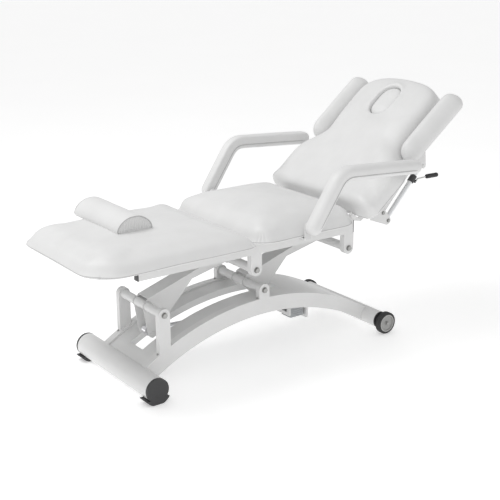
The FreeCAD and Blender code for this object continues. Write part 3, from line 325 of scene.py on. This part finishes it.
# --------------------------------------------------------------------- mesh tools
def new_piece(name, vertices, faces, material, body, smooth=True):
    """Mesh object that rides on a body."""
    mesh = bpy.data.meshes.new(name)
    mesh.from_pydata([tuple(v) for v in vertices], [], [tuple(f) for f in faces])
    mesh.update()
    piece = bpy.data.objects.new(name, mesh)
    bpy.context.scene.collection.objects.link(piece)
    mesh.materials.append(material)
    for polygon in mesh.polygons:
        polygon.use_smooth = smooth
    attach(piece, body)
    return piece


def apply_all(piece):
    """Apply every modifier of one object."""
    bpy.ops.object.select_all(action="DESELECT")
    piece.select_set(True)
    bpy.context.view_layer.objects.active = piece
    for modifier in list(piece.modifiers):
        bpy.ops.object.modifier_apply(modifier=modifier.name)


def points_of(piece):
    """Vertex positions as rows."""
    flat = np.zeros(len(piece.data.vertices) * 3)
    piece.data.vertices.foreach_get("co", flat)
    return flat.reshape(-1, 3)


def set_points(piece, points):
    """Write rows back as vertex positions."""
    piece.data.vertices.foreach_set("co", np.ascontiguousarray(points, dtype=np.float64).ravel())
    piece.data.update()


def normals_of(piece):
    """Vertex normals as rows."""
    flat = np.zeros(len(piece.data.vertices) * 3)
    piece.data.vertices.foreach_get("normal", flat)
    return flat.reshape(-1, 3)


def smooth_points(piece, rounds, fixed):
    """Plain averaging with the neighbours, away from the fixed points."""
    edges = np.zeros(len(piece.data.edges) * 2, dtype=np.int64)
    piece.data.edges.foreach_get("vertices", edges)
    a, b = edges.reshape(-1, 2).T
    points = points_of(piece)
    count = np.bincount(np.concatenate([a, b]), minlength=len(points))[:, None].clip(1)
    for _ in range(rounds):
        total = np.zeros_like(points)
        np.add.at(total, a, points[b])
        np.add.at(total, b, points[a])
        points = np.where(fixed[:, None], points, 0.5 * points + 0.5 * total / count)
    set_points(piece, points)


def tube_along(name, path, radius, material, body, sides=10, closed=False, ripple=0.0):
    """Round cord swept along a list of points; a ripple makes it a weld bead."""
    path = [Vector(p) for p in path]
    count = len(path)
    vertices, faces = [], []
    side_way = None
    for index, point in enumerate(path):
        ahead = path[(index + 1) % count] if closed or index + 1 < count else point
        behind = path[index - 1] if closed or index > 0 else point
        forward = (ahead - behind).normalized()
        if side_way is None:
            side_way = forward.orthogonal().normalized()
        side_way = (side_way - forward * side_way.dot(forward)).normalized()
        other = forward.cross(side_way)
        for step in range(sides):
            turn = 2.0 * math.pi * step / sides
            reach = radius * (1.0 + (ripple if index % 2 else -ripple))
            vertices.append(point + (side_way * math.cos(turn) + other * math.sin(turn)) * reach)
    rings = count if closed else count - 1
    for ring in range(rings):
        for step in range(sides):
            a = ring * sides + step
            b = ring * sides + (step + 1) % sides
            c = (ring + 1) % count * sides + (step + 1) % sides
            d = (ring + 1) % count * sides + step
            faces.append((a, b, c, d))
    if not closed:
        faces.append(tuple(reversed(range(sides))))
        faces.append(tuple(range((count - 1) * sides, count * sides)))
    return new_piece(name, vertices, faces, material, body)


# --------------------------------------------------------------------- soft goods
BACK_NORMAL = Vector(JOINTS["face_plug_lift"]["axis"]).normalized()
BACK_TILT = math.atan2(-BACK_NORMAL.x, BACK_NORMAL.z)


def flat_frame(origin, tilt):
    """Matrix from a pad's own frame, in which its face looks straight up, to the bed's frame."""
    return Matrix.Translation(origin) @ Matrix.Rotation(-tilt, 4, "Y")


LEVEL = Matrix.Identity(4)
BACK_PLACE = flat_frame(Vector(JOINTS["backrest_recline"]["pos_m"]), BACK_TILT)


def local_box(node, place):
    """Low and high corners of a CAD node in a pad's own frame."""
    inverse = place.inverted()
    points = [inverse @ v.co for v in frame["nodes"][node].data.vertices]
    low = Vector([min(p[i] for p in points) for i in range(3)])
    high = Vector([max(p[i] for p in points) for i in range(3)])
    return low, high


PADS = {}


COVER_FRAMES = 20
COVER_STRETCH = 22.0
COVER_SHEAR = 10.0
COVER_BEND = 12.0
COVER_MASS = 0.25


def cover_cloth(piece, pressure):
    """Cloth settings of a tight cover under a little pressure."""
    cloth = piece.modifiers.new("cover", "CLOTH")
    settings = cloth.settings
    settings.quality = 5
    settings.mass = COVER_MASS
    settings.tension_stiffness = COVER_STRETCH
    settings.compression_stiffness = COVER_STRETCH
    settings.shear_stiffness = COVER_SHEAR
    settings.bending_stiffness = COVER_BEND
    settings.use_pressure = True
    settings.uniform_pressure_force = pressure
    settings.vertex_group_mass = "held"
    settings.effector_weights.gravity = 0.0
    cloth.collision_settings.use_collision = False
    cloth.collision_settings.use_self_collision = False
    cloth.point_cache.frame_start = 1
    cloth.point_cache.frame_end = COVER_FRAMES
    return cloth


def swell(piece, pinned, pressure, cap):
    """Cloth simulation of the cover, blown up a little over its foam but never past the cap."""
    rest = points_of(piece)
    group = piece.vertex_groups.new(name="held")
    group.add([int(i) for i in np.nonzero(pinned)[0]], 1.0, "REPLACE")
    cloth = cover_cloth(piece, pressure)
    scene = bpy.context.scene
    for step in range(1, COVER_FRAMES + 1):
        scene.frame_set(step)
    depsgraph = bpy.context.evaluated_depsgraph_get()
    moved = points_of(piece.evaluated_get(depsgraph)) - rest
    piece.modifiers.remove(cloth)
    scene.frame_set(1)
    length = np.linalg.norm(moved, axis=1)
    share = np.minimum(1.0, cap / np.maximum(length, 1e-9))
    set_points(piece, rest + moved * share[:, None])


def ease(value):
    """Smooth step from 0 to 1."""
    value = np.clip(value, 0.0, 1.0)
    return value * value * (3.0 - 2.0 * value)


def arc(value):
    """Quarter-round rise from 0 to 1."""
    return np.sqrt(1.0 - (1.0 - np.clip(value, 0.0, 1.0)) ** 2)


def height_share(points):
    """0 at the lowest point of a pad and 1 at its highest."""
    return (points[:, 2] - points[:, 2].min()) / np.ptp(points[:, 2])


# Where the upright sides of a pad are looked for, as shares of its height, and how flat their normals lie.
SIDE_BAND = (0.15, 0.6)
UPRIGHT = 0.4


def rim_distance(points, normals, ignore):
    """Plan distance of every point from the nearest upright side of the pad."""
    low, high = points[:, 2].min(), points[:, 2].max()
    above = points[:, 2] > low + SIDE_BAND[0] * (high - low)
    below = points[:, 2] < low + SIDE_BAND[1] * (high - low)
    sides = np.nonzero((np.abs(normals[:, 2]) < UPRIGHT) & above & below & ~ignore(points))[0]
    tree = kdtree.KDTree(len(sides))
    for index, spot in enumerate(sides):
        tree.insert((points[spot, 0], points[spot, 1], 0.0), index)
    tree.balance()
    return np.array([tree.find((x, y, 0.0))[2] for x, y in points[:, :2]])


def no_points(points):
    """Picks none of the points."""
    return np.zeros(len(points), dtype=bool)


def even_copy(name, node, place, voxel):
    """Evenly meshed copy of a CAD node, in its pad's own frame."""
    mesh = frame["nodes"][node].data.copy()
    mesh.name = name
    mesh.materials.clear()
    piece = bpy.data.objects.new(name, mesh)
    bpy.context.scene.collection.objects.link(piece)
    mesh.transform(place.inverted())
    remesh = piece.modifiers.new("even", "REMESH")
    remesh.mode = "VOXEL"
    remesh.voxel_size = voxel
    apply_all(piece)
    return piece


def subdivided(piece):
    """Halve the mesh size and round it off."""
    subdivide = piece.modifiers.new("smooth", "SUBSURF")
    subdivide.levels = 1
    subdivide.render_levels = 1
    apply_all(piece)


def soft_pad(name, node, body, place, shape, voxel=0.008, shrink=0.005, pressure=4.0, cap=0.012,
             smoothing=12, held_height=0.014, held=no_points, after=None):
    """Pad grown from its CAD solid: remeshed, shaped, swollen as cloth and subdivided.

    The lowest held_height of the pad and the held points stay where the solid has them. shape(points,
    distance) moves the rest, given their distance from the rim, and after(piece) is the last touch.
    """
    piece = even_copy(name, node, place, voxel)
    points = points_of(piece)
    pinned = (points[:, 2] < points[:, 2].min() + held_height) | held(points)
    distance = rim_distance(points, normals_of(piece), held)
    inward = normals_of(piece) * shrink
    set_points(piece, points - np.where(pinned[:, None], 0.0, inward))
    smooth_points(piece, 4, pinned)
    set_points(piece, shape(points_of(piece), distance))
    swell(piece, pinned, pressure, cap)
    smooth_points(piece, smoothing, pinned)
    subdivided(piece)
    if after is not None:
        after(piece)
    piece.data.transform(place)
    piece.data.materials.append(VINYL)
    for polygon in piece.data.polygons:
        polygon.use_smooth = True
    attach(piece, body)
    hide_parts(node)
    PADS[name] = piece


def pillow(rim, reach, dome):
    """Shape function: quarter-round shoulders down to the rim and a domed middle."""

    def shape(points, distance):
        low = points[:, 2].min()
        above = points[:, 2] - low
        shoulder = arc(distance / (reach(points) if callable(reach) else reach))
        moved = points.copy()
        moved[:, 2] = low + above * (rim + (1.0 - rim) * shoulder)
        moved[:, 2] += dome * ease(height_share(points)) * ease(distance / distance.max())
        return moved

    return shape


LEG_NOSE_R = 0.175
SEAT_CORNER_R = 0.115
CORNER_SHARE = 0.75
# Part of that pull left at the board, so that the board's corners stay covered.
CORNER_LOW = 0.4


def draw_in(points, before, edges, radius):
    """Pull the corners at the given X edges in to a larger plan radius."""
    low_pull = CORNER_LOW + (1.0 - CORNER_LOW) * ease(height_share(before) / 0.5)
    pull = CORNER_SHARE * radius * low_pull
    for x, way in edges:
        inside = (before[:, 0] - x) * way
        b = np.clip((np.abs(before[:, 1]) - np.abs(before[:, 1]).max() + radius) / radius, 0.0, 1.0)
        a = np.clip((radius - inside) / radius, 0.0, 1.0)
        points[:, 0] += way * a * (1.0 - np.sqrt(1.0 - b * b / 2.0)) * pull
        points[:, 1] -= np.sign(before[:, 1]) * b * (1.0 - np.sqrt(1.0 - a * a / 2.0)) * pull
    return points


def leg_shape(points, distance):
    """Broad shoulders, with the two foot-end corners drawn in to a larger radius."""
    moved = pillow(rim=0.64, reach=0.12, dome=0.005)(points, distance)
    return draw_in(moved, points, [(points[:, 0].min(), 1.0)], LEG_NOSE_R)


def seat_shape(points, distance):
    """High crown, with all four corners drawn in."""
    moved = pillow(rim=0.64, reach=seat_reach, dome=0.038)(points, distance)
    edges = [(points[:, 0].min(), 1.0), (points[:, 0].max(), -1.0)]
    return draw_in(moved, points, edges, SEAT_CORNER_R)


SIDE_LONGER = 0.014
SIDE_WIDER_FOOT = 0.04
SIDE_WIDER_HEAD = 0.13
BOLSTER_TALLER = 1.03


def side_shape(points, distance):
    """Rounder and a little longer and wider towards the head end than the cut foam."""
    moved = pillow(rim=0.74, reach=0.05, dome=0.018)(points, distance)
    low, high = points.min(axis=0), points.max(axis=0)
    along = (points[:, 0] - low[0]) / (high[0] - low[0])
    way = np.sign(points[0, 1])
    inner = np.abs(points[:, 1]).min()
    wider = SIDE_WIDER_FOOT + (SIDE_WIDER_HEAD - SIDE_WIDER_FOOT) * along
    moved[:, 0] += SIDE_LONGER * along
    moved[:, 1] += way * (np.abs(points[:, 1]) - inner) * wider
    return moved


def bolster_shape(points, distance):
    """A little taller than the cut foam."""
    moved = points.copy()
    base = points[:, 2].min()
    moved[:, 2] = base + (points[:, 2] - base) * BOLSTER_TALLER
    return moved


# The swollen hips of the backrest pass between the armrests when it is raised.
HIP_START = 0.350
HIP_GIVE = 0.0055
ARM_INNER = 0.3595
ARM_FULLER = 0.004


def arm_shape(points, distance):
    """Fuller on the outside than the cut foam, and clear of the backrest inside."""
    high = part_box("right_armrest")[1]
    moved = points.copy()
    moved[:, 1] = np.sign(points[0, 1]) * np.clip(np.abs(points[:, 1]), ARM_INNER, high.y + ARM_FULLER)
    return moved


def flatten_inner_face(piece):
    """Keep an armrest's inner face clear of the backrest."""
    points = points_of(piece)
    points[:, 1] = np.sign(points[0, 1]) * np.maximum(np.abs(points[:, 1]), ARM_INNER)
    set_points(piece, points)


def hold_in_hips(piece):
    """Keep the swollen sides of the backrest just inside the armrests."""
    points = points_of(piece)
    excess = np.maximum(np.abs(points[:, 1]) - HIP_START, 0.0)
    held_in = HIP_START + HIP_GIVE * (1.0 - np.exp(-excess / HIP_GIVE))
    points[:, 1] = np.where(excess > 0.0, np.sign(points[:, 1]) * held_in, points[:, 1])
    set_points(piece, points)


# The cushions stand prouder of their boards towards the head end.
HEAD_RISE = 0.020
PLUG_DOME = 0.008
HIP_BULGE = 0.035
FOOT_FILL = 0.018
FOOT_FILL_LENGTH = 0.07
# Hips end this far up the backrest, fading over the second length.
HIP_LENGTH = 0.17
HIP_FADE = 0.09
# Times the plug's own half size.
HOLE_REACH = 1.22


def back_rise(points):
    """How far the face stands proud at each point along the backrest."""
    low, high = local_box("back_cushion", BACK_PLACE)
    along = (points[:, 0] - low.x) / (high.x - low.x)
    return HEAD_RISE * ease((along - 0.2) / 0.5)


def near_face_hole(points):
    """Points beside the face hole, which stay where the solid has them."""
    low, high = local_box("face_plug", BACK_PLACE)
    middle = (low + high) / 2.0
    half_x, half_y = (high.x - low.x) / 2.0, (high.y - low.y) / 2.0
    reach = np.hypot((points[:, 0] - middle.x) / half_x, (points[:, 1] - middle.y) / half_y)
    return reach < HOLE_REACH


def raised_back(points, distance):
    """Backrest cover: crowned, prouder at the head, fuller at its foot and hips."""
    distance = np.where(near_face_hole(points), distance.max(), distance)
    moved = pillow(rim=0.88, reach=0.055, dome=0.012)(points, distance)
    share = height_share(points)
    moved[:, 2] += share * back_rise(points)
    low = local_box("back_cushion", BACK_PLACE)[0]
    moved[:, 2] += FOOT_FILL * share * (1.0 - ease((points[:, 0] - low.x) / FOOT_FILL_LENGTH))
    hips = 1.0 - ease((points[:, 0] - low.x - HIP_LENGTH) / HIP_FADE)
    moved[:, 1] *= 1.0 + HIP_BULGE * hips * ease(share / 0.3)
    return moved


def raised_plug(points, distance):
    """Plug cover: a low dome that rises with the face round it."""
    moved = pillow(rim=0.97, reach=0.03, dome=PLUG_DOME)(points, distance)
    share = height_share(points)
    moved[:, 2] += share * back_rise(points)
    return moved


SEAT_SHOULDER = 0.115
SEAT_REAR_SHOULDER = 0.035


def seat_reach(points):
    """Broad shoulders all round except at the edge the backrest stands on."""
    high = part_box("seat_cushion")[1]
    from_side = high.y - np.abs(points[:, 1])
    from_rear = high.x - points[:, 0]
    rear = ease((from_side - from_rear) / 0.08 + 0.3)
    return SEAT_SHOULDER + (SEAT_REAR_SHOULDER - SEAT_SHOULDER) * rear


TUCK_DEPTH = 0.0026
TUCK_ANGLES = (0.45, 0.8, 1.15)
TUCK_WIDTH = 0.05


def tuck_corners(inset):
    """Cover folded into three short creases at each lower corner of a pad."""

    def tuck(piece):
        points, normals = points_of(piece), normals_of(piece)
        low, high = points.min(axis=0), points.max(axis=0)
        upward = height_share(points)
        fade = ease(upward / 0.12) * (1.0 - ease((upward - 0.2) / 0.35))
        for x, x_way in ((low[0] + inset, -1.0), (high[0] - inset, 1.0)):
            for y_way in (-1.0, 1.0):
                y = y_way * (high[1] - inset)
                dx, dy = (points[:, 0] - x) * x_way, (points[:, 1] - y) * y_way
                angle = np.arctan2(dy, dx)
                groove = sum(np.exp(-((angle - at) / TUCK_WIDTH) ** 2) for at in TUCK_ANGLES)
                depth = np.where((dx > 0.0) & (dy > 0.0), groove * fade * TUCK_DEPTH, 0.0)
                points = points - normals * depth[:, None]
        set_points(piece, points)

    return tuck


PLEATS = 13
PLEAT_DEPTH = 0.0036


def pleat_ends(piece):
    """Gathered upright folds in the two end faces of the bolster."""
    points, normals = points_of(piece), normals_of(piece)
    low, high = points.min(axis=0), points.max(axis=0)
    across = (points[:, 0] - low[0]) / (high[0] - low[0])
    upward = height_share(points)
    facing = ease((np.abs(normals[:, 1]) - 0.6) / 0.3)
    wave = np.abs(np.sin(across * math.pi * PLEATS + 0.8 * np.sin(upward * 5.0)))
    fade = ease(upward / 0.25) * ease((1.0 - upward) / 0.15)
    points[:, 1] -= np.sign(normals[:, 1]) * facing * wave * fade * PLEAT_DEPTH
    set_points(piece, points)


LEG_TUCK_INSET = 0.05
SEAT_TUCK_INSET = 0.06


def build_pads():
    """All nine soft pieces."""
    soft_pad("leg_pad", "leg_cushion", "top_frame", LEVEL, leg_shape, cap=0.009,
             smoothing=18, after=tuck_corners(LEG_TUCK_INSET))
    soft_pad("seat_pad", "seat_cushion", "top_frame", LEVEL, seat_shape, cap=0.009,
             smoothing=18, after=tuck_corners(SEAT_TUCK_INSET))
    soft_pad("back_pad", "back_cushion", "backrest", BACK_PLACE, raised_back, shrink=0.002, cap=0.009,
             smoothing=16, held=near_face_hole, after=hold_in_hips)
    soft_pad("face_plug_pad", "face_plug", "face_plug_body", BACK_PLACE, raised_plug, voxel=0.005,
             shrink=-0.0003, cap=0.002, pressure=2.0, smoothing=4)
    for side in ("right", "left"):
        soft_pad(side + "_side_pad", side + "_side_cushion", side + "_carrier_body", BACK_PLACE,
                 side_shape, voxel=0.007, shrink=-0.0045, cap=0.008, smoothing=8)
        soft_pad(side + "_arm_pad", side + "_armrest", side + "_armrest_body", LEVEL, arm_shape,
                 voxel=0.007, shrink=-0.005, cap=0.006, held_height=-1.0, pressure=3.0, smoothing=6,
                 after=flatten_inner_face)
    soft_pad("bolster_pad", "bolster", "bolster_body", LEVEL, bolster_shape, voxel=0.005, shrink=0.001,
             cap=0.006, held_height=0.006, smoothing=7, after=pleat_ends)


# ------------------------------------------------------------ piping and seams
WELT_OUT = 0.0006
WELT_R = 0.0022
RIM_WELT_R = 0.0017


def snapped(piece, path, outward=WELT_OUT):
    """Path moved onto the nearest spots of a pad's surface."""
    laid = []
    for point in path:
        hit, spot, normal, _ = piece.closest_point_on_mesh(Vector(point))
        laid.append(spot + normal * outward if hit else Vector(point))
    return laid


def evened(path, rounds=3):
    """Closed path with its small jitters averaged away."""
    for _ in range(rounds):
        count = len(path)
        path = [(path[i - 1] + path[i] * 2.0 + path[(i + 1) % count]) / 4.0 for i in range(count)]
    return path


RING_STEPS = 220
RING_BAND = 0.006


def ring_round(piece, place, height):
    """Closed path round a pad at one height of its own frame, found by looking inward."""
    inverse = place.inverted()
    points = np.array([inverse @ v.co for v in piece.data.vertices])
    level = points[np.abs(points[:, 2] - points[:, 2].min() - height) < RING_BAND]
    middle = (level.min(axis=0) + level.max(axis=0)) / 2.0
    angles = np.arctan2(level[:, 1] - middle[1], level[:, 0] - middle[0])
    reach = np.hypot(level[:, 0] - middle[0], level[:, 1] - middle[1])
    path = []
    for step in range(RING_STEPS):
        turn = -math.pi + 2.0 * math.pi * step / RING_STEPS
        gap = np.abs((angles - turn + math.pi) % (2.0 * math.pi) - math.pi)
        near = gap < 2.0 * math.pi / RING_STEPS * 1.5
        if near.any():
            out = reach[near].max()
            spot = Vector((middle[0] + out * math.cos(turn), middle[1] + out * math.sin(turn),
                           points[:, 2].min() + height))
            path.append(place @ spot)
    return path


def rim_piping(name, pad, place, height, body):
    """Welt round the lower edge of a pad."""
    piece = PADS[pad]
    around = evened(ring_round(piece, place, height), rounds=4)
    path = evened(snapped(piece, around, outward=0.0), rounds=2)
    tube_along(name, path, RIM_WELT_R, PIPING, body, sides=8, closed=True)


# Armrest centre line, measured from its pivot along X and Z.
ARM_ELBOW = (0.141, 0.207)
ARM_TIP = (0.556, 0.178)
ARM_HALF = 0.026
ARM_BEND = 0.080


def arm_line(drop):
    """Centre line of an armrest with its rounded elbow, offset downward."""
    foot, elbow, tip = Vector((0.0, 0.0)), Vector(ARM_ELBOW), Vector(ARM_TIP)
    first, second = (elbow - foot).normalized(), (tip - elbow).normalized()
    under_a, under_b = Vector((first.y, -first.x)), Vector((second.y, -second.x))
    turn = math.acos(max(-1.0, min(1.0, first.dot(second))))
    reach = ARM_BEND * math.tan(turn / 2.0)
    start, stop = elbow - first * reach, elbow + second * reach
    centre = start + under_a * ARM_BEND
    line = [foot.lerp(start, step / 16.0) + under_a * drop for step in range(17)]
    for step in range(1, 12):
        way = (-under_a).lerp(-under_b, step / 12.0).normalized()
        line.append(centre + way * (ARM_BEND - drop))
    line += [stop.lerp(tip, step / 28.0) + under_b * drop for step in range(29)]
    return line


def arm_piping(side):
    """Welt along both lower edges of an armrest, running round its two ends."""
    low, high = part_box(side + "_armrest")
    pivot = Vector(JOINTS[side + "_armrest_drop"]["pos_m"])
    piece = PADS[side + "_arm_pad"]
    line = arm_line(0.4 * ARM_HALF)
    tip_way = (line[-1] - line[-2]).normalized() * ARM_HALF
    foot_way = (line[0] - line[1]).normalized() * ARM_HALF
    loop = []
    for y, far_y, run, away in ((high.y, low.y, line, tip_way), (low.y, high.y, line[::-1], foot_way)):
        loop += [Vector((pivot.x + p.x, y, pivot.z + p.y)) for p in run]
        end = run[-1] + away
        for part in (0.2, 0.4, 0.6, 0.8):
            loop.append(Vector((pivot.x + end.x, y + (far_y - y) * part, pivot.z + end.y)))
    path = evened(snapped(piece, loop))
    tube_along(side + "_arm_piping", path, WELT_R, PIPING, side + "_armrest_body", sides=8,
               closed=True)


BOLSTER_LIP = 0.014
BOLSTER_STEPS = 60


def bolster_piping(name, at_low):
    """Welt round one end face of the bolster."""
    low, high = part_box("bolster")
    piece = PADS["bolster_pad"]
    y = low.y if at_low else high.y
    half = (high.x - low.x) / 2.0
    middle = (low.x + high.x) / 2.0
    path = []
    for step in range(BOLSTER_STEPS):
        turn = 2.0 * math.pi * step / BOLSTER_STEPS
        rise = math.sin(turn)
        tall = high.z - low.z - BOLSTER_LIP if rise > 0.0 else BOLSTER_LIP
        path.append(Vector((middle + half * math.cos(turn), y, low.z + BOLSTER_LIP + tall * rise)))
    laid = evened(snapped(piece, path))
    tube_along(name, laid, WELT_R, PIPING, "bolster_body", sides=8, closed=True)


# Height of the welt above the underside of its pad.
SEAT_WELT_HEIGHT = 0.010
BACK_WELT_HEIGHT = 0.012


def build_piping():
    """All the welts."""
    rim_piping("leg_pad_piping", "leg_pad", LEVEL, SEAT_WELT_HEIGHT, "top_frame")
    rim_piping("seat_pad_piping", "seat_pad", LEVEL, SEAT_WELT_HEIGHT, "top_frame")
    rim_piping("back_pad_piping", "back_pad", BACK_PLACE, BACK_WELT_HEIGHT, "backrest")
    for side in ("right", "left"):
        arm_piping(side)
    bolster_piping("bolster_front_piping", True)
    bolster_piping("bolster_rear_piping", False)


# ------------------------------------------------------------------- hardware
def ring_y(centre, radius, y, count):
    """Points of a circle round an axis along Y."""
    path = []
    for step in range(count):
        turn = 2.0 * math.pi * step / count
        path.append(Vector((centre[0] + radius * math.cos(turn), y, centre[2] + radius * math.sin(turn))))
    return path


CHANNEL_HALF = 0.040
CROSS_TUBE_R = 0.019
BEAD = 0.0026
BEAD_RIPPLE = 0.16
# Centre of the bead, out from the tube's skin and from the plate's face.
BEAD_OFF_TUBE = 0.0012
BEAD_OFF_PLATE = 0.0008


def channel_welds(name, pivot, body):
    """Ring welds where a cross tube passes through the two channel side plates."""
    for label, y in (("right", CHANNEL_HALF), ("left", -CHANNEL_HALF)):
        path = ring_y(pivot, CROSS_TUBE_R + BEAD_OFF_TUBE, y + math.copysign(BEAD_OFF_PLATE, y), 56)
        tube_along(name + "_" + label, path, BEAD, WELD, body, sides=6, closed=True,
                   ripple=BEAD_RIPPLE)


RIB_R = 0.0011
RIB_SINK = 0.0012
RIB_SHARES = (-0.45, 0.0, 0.45)
TRIM_R = 0.0022
TRIM_INSET = 0.0012
TYRE_DEPTH = 0.0125


def tyre_ribs(side):
    """Raised ribs round the tread and a trim ring round the hub."""
    axle = JOINTS[side + "_wheel_spin"]["pos_m"]
    low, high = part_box(side + "_wheel")
    radius = (high.z - low.z) / 2.0
    middle = (low.y + high.y) / 2.0
    body = side + "_wheel_body"
    for index, share in enumerate(RIB_SHARES):
        path = ring_y(axle, radius - RIB_SINK, middle + share * (high.y - low.y) / 2.0, 72)
        tube_along("%s_tyre_rib_%d" % (side, index), path, RIB_R, RUBBER, body, sides=6,
                   closed=True)
    outer = high.y if side == "right" else low.y
    inset = -TRIM_INSET if side == "right" else TRIM_INSET
    path = ring_y(axle, radius - TYRE_DEPTH, outer + inset, 60)
    tube_along(side + "_hub_ring", path, TRIM_R, LIGHT_GREY, body, sides=8, closed=True)


MOTOR_RIBS = 6
MOTOR_RIB_STEP = 0.010
MOTOR_RIB_R = 0.0016
# Lowest rib below the motor's pivot, half its length, and its distance from the centre plane.
MOTOR_RIB_LOW = 0.056
MOTOR_RIB_HALF = 0.028
MOTOR_RIB_OUT = 0.0362


def motor_ribs():
    """Cooling ribs on the lift motor's housing."""
    pivot = Vector(JOINTS["lift_motor_swing"]["pos_m"])
    for index in range(MOTOR_RIBS):
        z = pivot.z - MOTOR_RIB_LOW + MOTOR_RIB_STEP * index
        for label, y in (("right", MOTOR_RIB_OUT), ("left", -MOTOR_RIB_OUT)):
            starts = [-MOTOR_RIB_HALF + 2.0 * MOTOR_RIB_HALF * step / 6.0 for step in range(7)]
            path = [Vector((pivot.x + x, y, z)) for x in starts]
            tube_along("motor_rib_%s_%d" % (label, index), path, MOTOR_RIB_R, GREY, "lift_motor_body",
                       sides=6)


CABLE_R = 0.0032
CABLE_SAG = 0.045
CABLE_SWAY = 0.02
CABLE_BELOW_MOTOR = 0.02
# How far the two ends of the cable reach into the housings.
CABLE_INTO_MOTOR = 0.004
CABLE_INTO_CASE = 0.002
CABLE_STEPS = 32


def supply_cable():
    """Cable from the backrest motor forward to the control unit under the leg section."""
    case_low, case_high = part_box("control_box")
    motor_low, motor_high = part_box("back_motor")
    case = (case_low + case_high) / 2.0
    motor_z = (motor_low.z + motor_high.z) / 2.0
    start = Vector((motor_low.x + CABLE_INTO_MOTOR, 0.0, motor_z - CABLE_BELOW_MOTOR))
    end = Vector((case_high.x - CABLE_INTO_CASE, case.y, case.z))
    path = []
    for step in range(CABLE_STEPS + 1):
        part = step / CABLE_STEPS
        point = start.lerp(end, part)
        point.z -= CABLE_SAG * math.sin(math.pi * part)
        point.y += CABLE_SWAY * math.sin(2.0 * math.pi * part)
        path.append(point)
    tube_along("supply_cable", path, CABLE_R, CABLE, "top_frame")


STAPLE_STEP = 0.045
STAPLE_SIZE = (0.011, 0.0012, 0.0008)
STAPLE_INSET = 0.014
STAPLE_END_GAP = 0.1


def add_box(vertices, faces, centre, size):
    """One small closed box appended to a growing mesh."""
    first = len(vertices)
    for dx in (-0.5, 0.5):
        for dy in (-0.5, 0.5):
            for dz in (-0.5, 0.5):
                vertices.append(centre + Vector((dx * size[0], dy * size[1], dz * size[2])))
    for quad in ((0, 1, 3, 2), (4, 6, 7, 5), (0, 4, 5, 1), (2, 3, 7, 6), (0, 2, 6, 4), (1, 5, 7, 3)):
        faces.append(tuple(first + corner for corner in quad))


def staples(name, board, body):
    """Row of staples that holds the cover under the rim of a board."""
    low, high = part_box(board)
    vertices, faces = [], []
    z = low.z - STAPLE_SIZE[2] / 2.0
    rows = int((high.x - low.x - 2.0 * STAPLE_END_GAP) / STAPLE_STEP)
    for index in range(rows + 1):
        x = (low.x + high.x) / 2.0 + (index - rows / 2.0) * STAPLE_STEP
        for y in (low.y + STAPLE_INSET, high.y - STAPLE_INSET):
            add_box(vertices, faces, Vector((x, y, z)), STAPLE_SIZE)
    new_piece(name, vertices, faces, ZINC, body, smooth=False)


def build_hardware():
    """Staples, welds, ribs and the cable."""
    staples("leg_staples", "leg_board", "top_frame")
    staples("seat_staples", "seat_board", "top_frame")
    channel_welds("front_foot_weld", JOINTS["lift"]["pos_m"], "front_arm")
    channel_welds("front_head_weld", JOINTS["top_level"]["pos_m"], "front_arm")
    channel_welds("rear_foot_weld", JOINTS["rear_arm_swing"]["pos_m"], "rear_arm")
    for side in ("right", "left"):
        tyre_ribs(side)
    motor_ribs()
    supply_cable()


# ---------------------------------------------------------------- studio and camera
FLOOR_HALF = 60.0
# Just under the tyres and shoes, so that no face of the bed lies in the floor.
FLOOR_DROP = 0.0005
LENS = 76.83
SENSOR = 36.0
CAMERA_AT = (-2.62398, -3.60173, 1.86539)
AZIMUTH = math.radians(-35.90)
DOWN = math.radians(17.83)
ROLL = math.radians(-0.31)


def add_camera():
    """Camera at the viewing angle of the finished picture."""
    data = bpy.data.cameras.new("camera")
    data.lens = LENS
    data.sensor_width = SENSOR
    camera = bpy.data.objects.new("camera", data)
    bpy.context.scene.collection.objects.link(camera)
    turn = Matrix.Rotation(AZIMUTH, 4, "Z") @ Matrix.Rotation(math.pi / 2.0 - DOWN, 4, "X")
    camera.matrix_world = Matrix.Translation(CAMERA_AT) @ turn @ Matrix.Rotation(ROLL, 4, "Z")
    bpy.context.scene.camera = camera


WORLD_LIGHT = 0.61
LIGHT_TARGET = (0.0, 0.0, 0.5)
KEY_LIGHT = {"place": (-1.6, 1.2, 3.8), "size": 2.6, "power": 62.0}
FILL_LIGHT = {"place": (-2.6, -3.2, 2.0), "size": 2.4, "power": 16.0}


def area_light(name, place, size, power):
    """Round soft light that looks at the middle of the bed."""
    data = bpy.data.lights.new(name, "AREA")
    data.shape = "DISK"
    data.size = size
    data.energy = power
    light = bpy.data.objects.new(name, data)
    light.location = place
    away = Vector(place) - Vector(LIGHT_TARGET)
    light.rotation_euler = away.to_track_quat("Z", "Y").to_euler()
    bpy.context.scene.collection.objects.link(light)


def add_studio():
    """Even white surroundings, two soft lights and the floor."""
    world = bpy.data.worlds.new("studio")
    world.use_nodes = True
    background = world.node_tree.nodes["Background"]
    background.inputs["Color"].default_value = (1.0, 1.0, 1.0, 1.0)
    background.inputs["Strength"].default_value = WORLD_LIGHT
    bpy.context.scene.world = world
    bpy.context.scene.view_settings.view_transform = "Standard"
    area_light("key", **KEY_LIGHT)
    area_light("fill", **FILL_LIGHT)
    new_floor()


def new_floor():
    """Broad square floor."""
    mesh = bpy.data.meshes.new("floor")
    half = FLOOR_HALF
    corners = [(-half, -half, 0.0), (half, -half, 0.0), (half, half, 0.0), (-half, half, 0.0)]
    mesh.from_pydata(corners, [], [(0, 1, 2, 3)])
    mesh.materials.append(FLOOR)
    floor = bpy.data.objects.new("floor", mesh)
    bpy.context.scene.collection.objects.link(floor)
    floor.location.z = -FLOOR_DROP
    return floor


dress_cad_nodes()
build_pads()
build_piping()
build_hardware()
add_camera()
add_studio()
